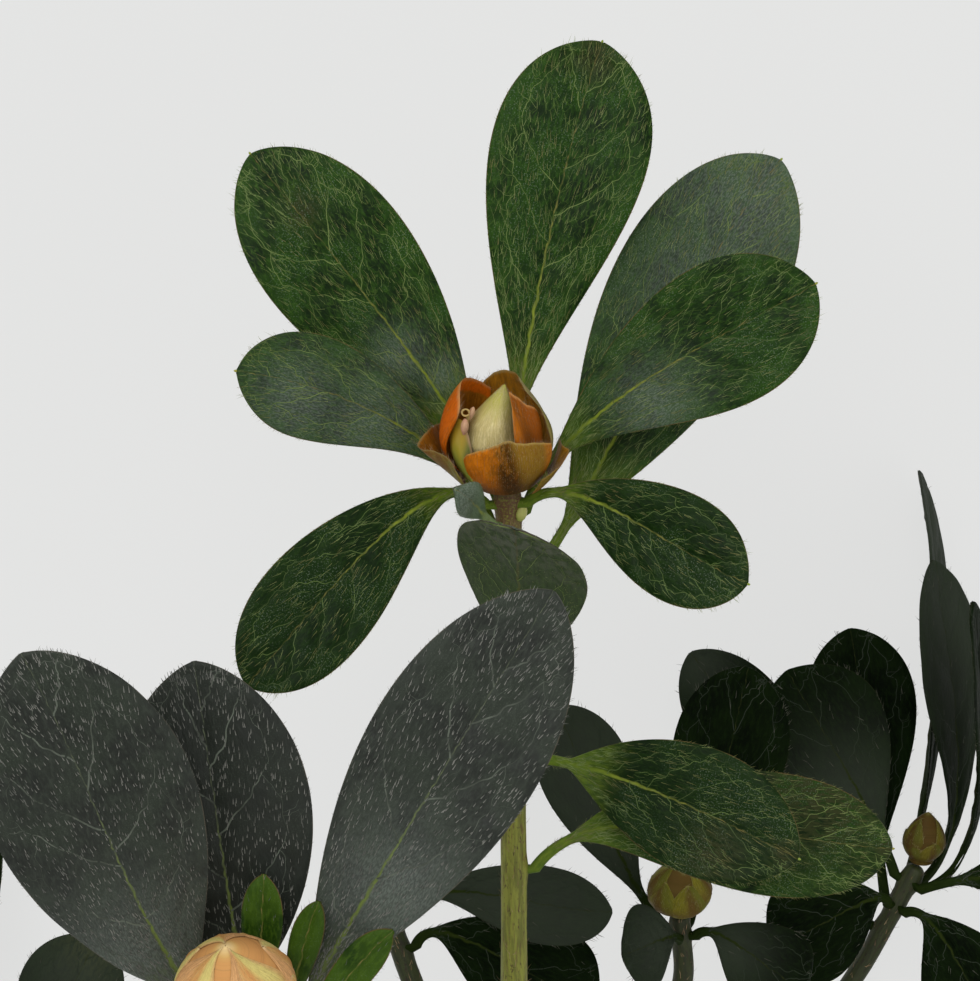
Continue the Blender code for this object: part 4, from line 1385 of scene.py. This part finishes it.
def opening_scale(spec, matrix, material, hairs, rng, replaced):
    """A papery scale with two faces, downy on its outside and fringed on its edge."""
    h, s, outer, inner, outward = scale_shell(spec, matrix)
    rows, columns = h.shape
    backwards = spec.foot[1] < spec.foot[0]
    shell = Joined()
    for places, inside in ((outer, False), (inner, True)):
        numbers = {"scale_h": h, "scale_s": s, "scale_in": inside, "scale_number": 5.1 * spec.number}
        shell.keep(places, [grid_faces(rows, columns, backwards != inside)], **numbers)
    shell.as_piece(f"{spec.name}_shell", material, "bud_scale", replaced)

    climb, aside = unit(np.gradient(outer, axis=0)), unit(np.gradient(outer, axis=1))
    count = spec.face_hairs
    row = np.minimum((rows * rng.uniform(0.1, 1.0, count) ** 0.8).astype(int), rows - 1)
    column = rng.integers(0, columns, count)
    heading = climb[row, column] + outward[row, column] * rng.uniform(0.05, 0.3, (count, 1))
    heading += 0.2 * rng.normal(0, 1, (count, 3))
    length = rng.uniform(0.15, 0.4, count)
    hairs.stand_on(outer[row, column], heading, length, FACE_HAIR_WIDTH, outward[row, column])

    count = spec.edge_hairs
    on_side = rng.random(count) < 0.4
    row = np.where(on_side, rng.integers(rows // 3, rows, count), rows - 1)
    hand = rng.choice([0, columns - 1], count)
    column = np.where(on_side, hand, rng.integers(0, columns, count))
    sideways = np.where(on_side, np.where(hand == 0, -1.0, 1.0), 0.0)[:, None] * aside[row, column]
    heading = climb[row, column] * 0.8 + sideways + 0.3 * rng.normal(0, 1, (count, 3))
    length = rng.uniform(0.25, 0.9, count)
    hairs.stand_on(outer[row, column], heading, length, EDGE_HAIR_WIDTH, outward[row, column], 0.05)


def silk_bud(matrix, material, hairs, rng):
    """The closed inner bud: silky scales that wrap each other up to one point."""
    rows, columns = SILK_GRID
    h, s = mesh_grid(rows, columns)
    shell = Joined()
    for number, (turn, spread, proud, share) in enumerate(SILK_WRAPS):
        angle = np.radians(turn - 90 + spread * (1 - 0.3 * h**3) * s)
        height = CORE_HEIGHTS[-1] * share * h
        swell = np.interp(height, CORE_HEIGHTS, CORE_RADII)
        wide = swell + proud * (1 - s**6) * (1 - 0.8 * h)
        wide = wide + 0.05 * waves(number + 70, 5 * s, 2 * h) * swell / 2
        lean = np.stack([np.interp(height, CORE_HEIGHTS, CORE_LEAN), 0 * h, 0 * h], axis=-1)
        places = in_frame(matrix, round_place(np.maximum(wide, 0.03), angle, SILK_SHARE * height) + lean)
        numbers = {"scale_h": h, "scale_s": s, "scale_number": 3.3 * number, "core_right": np.cos(angle)}
        shell.keep(places, [grid_faces(rows, columns)], **numbers)
        climb = unit(np.gradient(places, axis=0))
        outward = round_place(np.ones(angle.shape), angle, 0 * angle + 0.3) @ matrix[:3, :3].T
        row = rng.integers(2, rows - 2, SILK_HAIRS)
        column = rng.integers(1, columns - 1, SILK_HAIRS)
        heading = climb[row, column] + 0.07 * outward[row, column] + 0.1 * rng.normal(0, 1, (SILK_HAIRS, 3))
        length = rng.uniform(0.3, 0.7, SILK_HAIRS)
        hairs.stand_on(places[row, column], heading, length, SILK_HAIR_WIDTH, outward[row, column])
    shell.as_piece("inner_bud_silk", material, "bud_core", ["bud_core"])


def turned_piece(name, matrix, profile, sides, seed, rough, material):
    """An uneven round form from (height, radius) pairs, foot first, with its top closed."""
    rings = len(profile)
    height, radius = np.repeat(np.array(profile).T[..., None], sides, axis=2)
    angle = mesh_grid(rings, sides, 0, 2 * math.pi, False)[1]
    bumps = rough * waves(seed, 3 * np.cos(angle), 3 * np.sin(angle), 1.5 * height)
    places = in_frame(matrix, round_place(radius * (1 + bumps), angle, height))
    faces = [ring_faces(rings, sides), [list(range((rings - 1) * sides, rings * sides))]]
    add_piece(name, places.reshape(-1, 3), faces, material)


def egg_radius(h, radius, foot):
    swell = np.sin(math.pi * np.clip(h, 0.001, 0.999) ** 0.76) ** 0.75
    return np.maximum(np.maximum(radius * swell, foot * (1 - h) ** 2), 0.04)


def closed_bud(name, materials, hairs, seed):
    """A closed bud: an egg under overlapping pointed scales, each with its own keel."""
    foot, axis, length, radius = PLAIN_BUDS[name]
    whorls, look, hair_length, settled = PLAIN_FINISHES[name]
    length *= settled
    rng = np.random.default_rng(seed)
    matrix = bud_frame(foot, axis)
    shell = Joined()
    h, angle = mesh_grid(*CLOSED_CORE, 0, 2 * math.pi, False)
    core = in_frame(matrix, round_place(egg_radius(h, radius * 0.93, 1.2), angle, length * h))
    shell.keep(core, [ring_faces(*CLOSED_CORE)], scale_h=h, scale_s=0.0, scale_in=0.0, scale_number=1.0)

    rows, columns = CLOSED_GRID
    h, s = mesh_grid(rows, columns)
    spread = 46 * np.clip(1 - h**2.6, 0, 1) ** 0.6 * (0.75 + 0.25 * np.minimum(1, 3 * h)) + 1.0
    proud = 0.05 * radius * (1 - 0.35 * h) * (1 - s**4) * (1 + 0.6 * (s * s < 0.02))
    for level in range(whorls):
        last = level == whorls - 1
        low = 0.03 + 0.62 * level / whorls
        high = min(0.99, low + 0.5 + 0.04 * level)
        at = low + (high - low) * h
        wide = egg_radius(at, radius, 1.3) * 0.95 + proud - 0.02 * level
        tall = length * at * (1.01 if last else 1.0)
        number_round = 3 if last else 5
        for k in range(number_round):
            turn = 360 * (k + 0.5 * (level % 2) + 0.12 * rng.normal()) / number_round + 40 * level
            angle = np.radians(turn + spread * s)
            places = in_frame(matrix, round_place(wide, angle, tall))
            numbers = {"scale_h": h, "scale_s": s, "scale_in": 0.0, "scale_number": rng.uniform(0, 40)}
            shell.keep(places, [grid_faces(rows, columns)], **numbers)
            climb = unit(np.gradient(places, axis=0))
            outward = round_place(np.ones(angle.shape), angle, 0 * angle) @ matrix[:3, :3].T
            row = rng.integers(rows // 3, rows, CLOSED_HAIRS)
            edge = rng.choice([0, columns - 1], CLOSED_HAIRS)
            on_edge = rng.random(CLOSED_HAIRS) < 0.6
            column = np.where(on_edge, edge, rng.integers(0, columns, CLOSED_HAIRS))
            heading = climb[row, column] + 0.25 * outward[row, column]
            heading += 0.25 * rng.normal(0, 1, (CLOSED_HAIRS, 3))
            size = hair_length * rng.uniform(0.4, 1.2, CLOSED_HAIRS)
            hairs.stand_on(places[row, column], heading, size, CLOSED_HAIR_WIDTH, outward[row, column])
    shell.as_piece(f"{name}_scales", materials[look], "bud", [name])


def bent_tube(material, sides=12):
    """The small bent tube in front of the inner bud."""
    ring = np.linspace(0, 2 * math.pi * 0.93, 22)
    wide, deep, rise = LOOP_RADII
    loop = np.stack([wide * np.cos(ring), deep * np.sin(ring), rise * np.sin(ring / 2)], axis=1)
    loop = loop + LOOP_CENTRE
    stalk = [loop[-1] + np.array(STYLE_STEP) * steps for steps in STYLE_STALK]
    points = np.array([*loop, *stalk])
    radii = np.array([*(0.09 + 0.015 * np.sin(3 * ring)), *STYLE_STALK.values()])
    way = unit(np.gradient(points, axis=0))
    right = unit(np.cross(way, [0.3, 0.2, 0.93]))
    behind = np.cross(way, right)
    angle = np.linspace(0, 2 * math.pi, sides, endpoint=False)[None, :, None]
    spin = right[:, None, :] * np.cos(angle) + behind[:, None, :] * np.sin(angle)
    places = points[:, None, :] + radii[:, None, None] * spin
    add_piece("bud_style", places.reshape(-1, 3), [ring_faces(len(points), sides)], material)


# ---------------------------------------------------------------- the whole branch


def grow_leaves(materials):
    """Every leaf with its veins, hairs and tip, shoot by shoot."""
    number = 0
    for shoot in SHOOTS:
        family = shoot.family
        path = smooth_path(shoot.points, 4)
        veins = {"veins": Ribbons(), "dim_veins": Ribbons()}
        tangle, knobs = Hairs(), Joined()
        for place, leaf in enumerate(shoot.leaves, 1):
            number += 1
            rng = np.random.default_rng(100 + number)
            kind = leaf_kind(family, place)
            blade = Blade(f"{family}_leaf_{place}", leaf, shoot, path, kind.rows, kind.columns, number)
            strokes = int((blade.length - blade.start) * leaf.width * BLADE_FILL * kind.strokes)
            draw_veins(blade, kind.pairs, rng, strokes, kind.side_width, kind.fine_width)
            blade.finish(kind is UNDERSIDE)
            leaf_mesh(blade, materials[kind.material], number)
            # The veins of whorl leaves painted darker, as shade on the lower ones, go to a darker piece of
            # their own
            dim = kind is WHORL and blade.name in DIM
            if blade.lines:
                veins["dim_veins" if dim else "veins"].add(blade, blade.lines)
            lay_hairs(tangle, blade, kind.coat, rng)
            if kind is WHORL:
                knobs.keep(*tip_knob(blade))
        # Shoots other than the main and front ones lie in shadow behind; their veins and hairs take colours
        # painted dark as shade
        colour = {"main": "whorl", "front": "slate"}.get(family, "shade")
        pieces = {
            "veins": (veins["veins"], f"{colour}_vein"),
            "dim_veins": (veins["dim_veins"], "dim_vein"),
            "hairs": (tangle, f"{colour}_hair"),
            "leaf_tips": (knobs, "leaf_tip"),
        }
        for name, (joined, look) in pieces.items():
            if joined.count:
                joined.as_piece(f"{family}_{name}", materials[look], "leaf")


def grow_stems(materials):
    """The stems with their hairs. The two that the picture shows best have more hairs and the green bark;
    the others get a bark painted dark as shade.
    """
    hairs = Hairs()
    counts = {"main": 700, "front": 350}
    for number, shoot in enumerate(SHOOTS):
        # The stems behind get shade_bark, painted dark as shade
        material = materials["bark" if shoot.family in counts else "shade_bark"]
        count = counts.get(shoot.family, 180)
        stem_piece(shoot, material, hairs, count, 300 + number, shoot is MAIN)
    hairs.as_piece("stem_hairs", materials["brown_hair"], "bark")


def grow_main_bud(materials):
    rng = np.random.default_rng(500)
    matrix = bud_frame(BUD_FOOT, BUD_AXIS)
    hairs, silk = Hairs(), Hairs()
    for spec in BUD_SCALES:
        opening_scale(spec, matrix, materials[spec.name], hairs, rng, [spec.name])
    opening_scale(INNER_LEFT, matrix, materials["inner_petal"], hairs, rng, [])
    silk_bud(matrix, materials["silky_bud"], silk, rng)
    turned_piece("bud_seat", matrix, SEAT, 40, 81, 0.06, materials["bud_seat"])
    hairs.as_piece("bud_scale_hairs", materials["brown_hair"], "bud_scale")
    silk.as_piece("inner_bud_hairs", materials["silk_hair"], "bud_core")
    bent_tube(materials["style"])
    turned_piece("axil_bud", bud_frame(*AXIL_PLACE), AXIL, 30, 87, 0.1, materials["axil"])
    for name, (place, profile) in CRUMPLES.items():
        turned_piece(name, bud_frame(*place), profile, 26, 83, 0.35, materials["blush"])


def grow_plain_buds(materials):
    hairs = Hairs()
    for number, name in enumerate(PLAIN_BUDS):
        closed_bud(name, materials, hairs, 600 + number)
    hairs.as_piece("closed_bud_hairs", materials["dull_hair"], "bud")


# How each kind of leaf looks: its colours, roughness, gloss and sheen, then how strongly its finest veins,
# its glints and the grain of its silvery places show
LEAF_LOOKS = {
    "whorl_leaf": (GREEN, 0.5, 0.09, 0.0, 0.3, 0.4, 0.35),
    "slate_leaf": (SLATE, 0.55, 0.25, 0.1, 0.12, 0.1, 0.3),
    # shade_leaf: the leaves behind, painted near-black as shade
    "shade_leaf": (SHADE, 0.6, 0.03, 0.0, 0.1, 0.0, 0.0),
    "grey_leaf": (SLATE, 0.6, 0.12, 0.0, 0.25, 0.5, 0.55),
    "young_leaf": (YOUNG, 0.5, 0.12, 0.0, 0.15, 0.1, 0.3),
    "bract_leaf": (BRACT, 0.45, 0.3, 0.0, 0.0, 0.9, 0.5),
}
# Hairs, vein lines and other small things: two colours, and where they differ from the rest their roughness
# and gloss
THREADS = {
    "whorl_vein": ((0.07, 0.11, 0.018), (0.145, 0.2, 0.05)),
    # dim_vein: darker veins for the whorl leaves listed in DIM, painted shade on the lower ones
    "dim_vein": ((0.035, 0.06, 0.01), (0.09, 0.14, 0.03)),
    "slate_vein": ((0.035, 0.042, 0.03), (0.09, 0.105, 0.08)),
    # shade_vein: veins painted dark as shade, for the shoots that lie in shadow behind
    "shade_vein": ((0.006, 0.013, 0.003), (0.011, 0.02, 0.006)),
    "whorl_hair": ((0.15, 0.14, 0.04), (0.18, 0.23, 0.075)),
    "slate_hair": ((0.08, 0.083, 0.072), (0.17, 0.17, 0.15)),
    # shade_hair: hairs painted dark as shade, for the same shoots
    "shade_hair": ((0.04, 0.04, 0.025), (0.07, 0.07, 0.05)),
    "brown_hair": ((0.16, 0.08, 0.035), (0.34, 0.24, 0.13)),
    "silk_hair": ((0.5, 0.43, 0.2), (0.72, 0.64, 0.38), 0.5, 0.1),
    "dull_hair": ((0.14, 0.12, 0.03), (0.24, 0.2, 0.07)),
    "leaf_tip": ((0.2, 0.26, 0.03), (0.28, 0.26, 0.04), 0.45),
    "style": ((0.46, 0.33, 0.12), (0.4, 0.26, 0.08), 0.5),
    "blush": ((0.5, 0.3, 0.17), (0.45, 0.2, 0.13), 0.5),
    "axil": ((0.26, 0.3, 0.05), (0.42, 0.4, 0.13), 0.5),
    "bud_seat": ((0.09, 0.05, 0.02), (0.14, 0.11, 0.04), 0.7),
}
# Young green, brown specks, old wood and its pale streaks
BARKS = {
    "bark": ((0.21, 0.22, 0.03), (0.1, 0.05, 0.02), (0.13, 0.085, 0.045), (0.24, 0.2, 0.14)),
    # shade_bark: painted shade, a near-black bark for the stems that lie in shadow behind
    "shade_bark": ((0.028, 0.036, 0.007), (0.03, 0.018, 0.008), (0.05, 0.035, 0.02), (0.09, 0.075, 0.05)),
}
# Each scale's main colour, side, keel, inside and hem, then how strongly its main colour runs over its rim
# and how far across it that starts
SCALES = {
    "bud_scale_left": (
        (0.6, 0.13, 0.006), (0.5, 0.16, 0.015), (0.5, 0.1, 0.006),
        (0.42, 0.16, 0.012), (0.5, 0.3, 0.12), 1.0,
    ),
    "bud_scale_back": (
        (0.32, 0.27, 0.08), (0.26, 0.22, 0.06), (0.28, 0.17, 0.04),
        (0.42, 0.18, 0.012), (0.38, 0.3, 0.12), 0.85, 0.15,
    ),
    "bud_scale_right": (
        (0.58, 0.17, 0.01), (0.34, 0.09, 0.008), (0.2, 0.06, 0.006),
        (0.3, 0.12, 0.015), (0.6, 0.3, 0.1),
    ),
    "bud_scale_front": (
        (0.56, 0.16, 0.006), (0.27, 0.15, 0.018), (0.05, 0.022, 0.004),
        (0.3, 0.12, 0.015), (0.42, 0.3, 0.1),
    ),
    "bud_scale_low_left": (
        (0.24, 0.2, 0.045), (0.3, 0.12, 0.02), (0.16, 0.08, 0.02),
        (0.3, 0.11, 0.01), (0.3, 0.24, 0.1),
    ),
    "bud_scale_low_right": (
        (0.26, 0.17, 0.02), (0.36, 0.15, 0.015), (0.2, 0.08, 0.01),
        (0.32, 0.15, 0.012), (0.36, 0.22, 0.08),
    ),
    "peach_bud": (
        (0.7, 0.38, 0.16), (0.72, 0.6, 0.2), (0.56, 0.27, 0.09),
        (0.5, 0.3, 0.1), (0.78, 0.6, 0.32),
    ),
    "olive_bud": (
        (0.2, 0.18, 0.02), (0.14, 0.14, 0.02), (0.1, 0.06, 0.015),
        (0.2, 0.16, 0.03), (0.35, 0.3, 0.1),
    ),
    "dark_bud": (
        (0.13, 0.11, 0.014), (0.1, 0.1, 0.015), (0.07, 0.04, 0.01),
        (0.1, 0.07, 0.02), (0.18, 0.15, 0.05),
    ),
}
# The smooth petal: pale, warm, deep (a dark green painted as shade by the inner bud) and blush.
# The inner bud's silk: pale, warm, tip and shade (a dark olive for its speckles and its painted shade on the
# right)
PETAL = ((0.3, 0.34, 0.05), (0.36, 0.24, 0.02), (0.1, 0.13, 0.02), (0.55, 0.3, 0.2))
SILK = ((0.78, 0.68, 0.36), (0.52, 0.42, 0.15), (0.42, 0.4, 0.05), (0.26, 0.2, 0.05))


def make_materials():
    makers = {
        leaf_material: LEAF_LOOKS,
        thread_material: THREADS,
        bark_material: BARKS,
        scale_material: SCALES,
        petal_material: {"inner_petal": PETAL},
        silky_material: {"silky_bud": SILK},
    }
    return {name: maker(name, *look) for maker, looks in makers.items() for name, look in looks.items()}


# ---------------------------------------------------------------- floor, light and camera

CAMERA_HEIGHT = 400.0  # over the main bud
FRAME_WIDTH = 88.2  # of the picture at the main bud's height
SENSOR = 36.0
FLOOR_REACH = 1.5  # metres
SKY = 0.6  # strength of the even light from all round
LIGHTS = {"key": ((-0.2, 0.3, 0.85), 4.6), "fill": ((0.6, -0.3, 0.6), 1.2)}  # place in metres, and watts
LIGHT_SIZE = 0.7
LIT_PLACE = (0, 0, 0.04)


def set_stage():
    scene = bpy.context.scene
    floor = bpy.data.meshes.new("floor")
    corners = [(x * FLOOR_REACH, y * FLOOR_REACH, 0) for x, y in ((-1, -1), (1, -1), (1, 1), (-1, 1))]
    floor.from_pydata(corners, [], [(0, 1, 2, 3)])
    floor.materials.append(floor_material())
    stage = bpy.data.objects.new("floor", floor)
    scene.collection.objects.link(stage)

    world = bpy.data.worlds.new("studio")
    world.use_nodes = True
    world.node_tree.nodes["Background"].inputs[0].default_value = (1.0, 1.0, 1.0, 1.0)
    world.node_tree.nodes["Background"].inputs[1].default_value = SKY
    scene.world = world
    for name, (place, power) in LIGHTS.items():
        light = bpy.data.lights.new(name, "AREA")
        light.size = LIGHT_SIZE
        light.energy = power
        lamp = bpy.data.objects.new(name, light)
        lamp.location = place
        lamp.rotation_euler = (Vector(LIT_PLACE) - Vector(place)).to_track_quat("-Z", "Y").to_euler()
        scene.collection.objects.link(lamp)

    camera = bpy.data.cameras.new("camera")
    camera.sensor_fit = "HORIZONTAL"
    camera.sensor_width = SENSOR
    camera.lens = SENSOR * CAMERA_HEIGHT / FRAME_WIDTH
    camera.clip_start = 0.01
    eye = bpy.data.objects.new("camera", camera)
    eye.location = [MM * place for place in (*LYING_SHIFT[:2], CAMERA_HEIGHT + LYING_SHIFT[2])]
    scene.collection.objects.link(eye)
    scene.camera = eye
    scene.view_settings.view_transform = "Standard"


materials = make_materials()
grow_leaves(materials)
grow_stems(materials)
grow_main_bud(materials)
grow_plain_buds(materials)
set_stage()
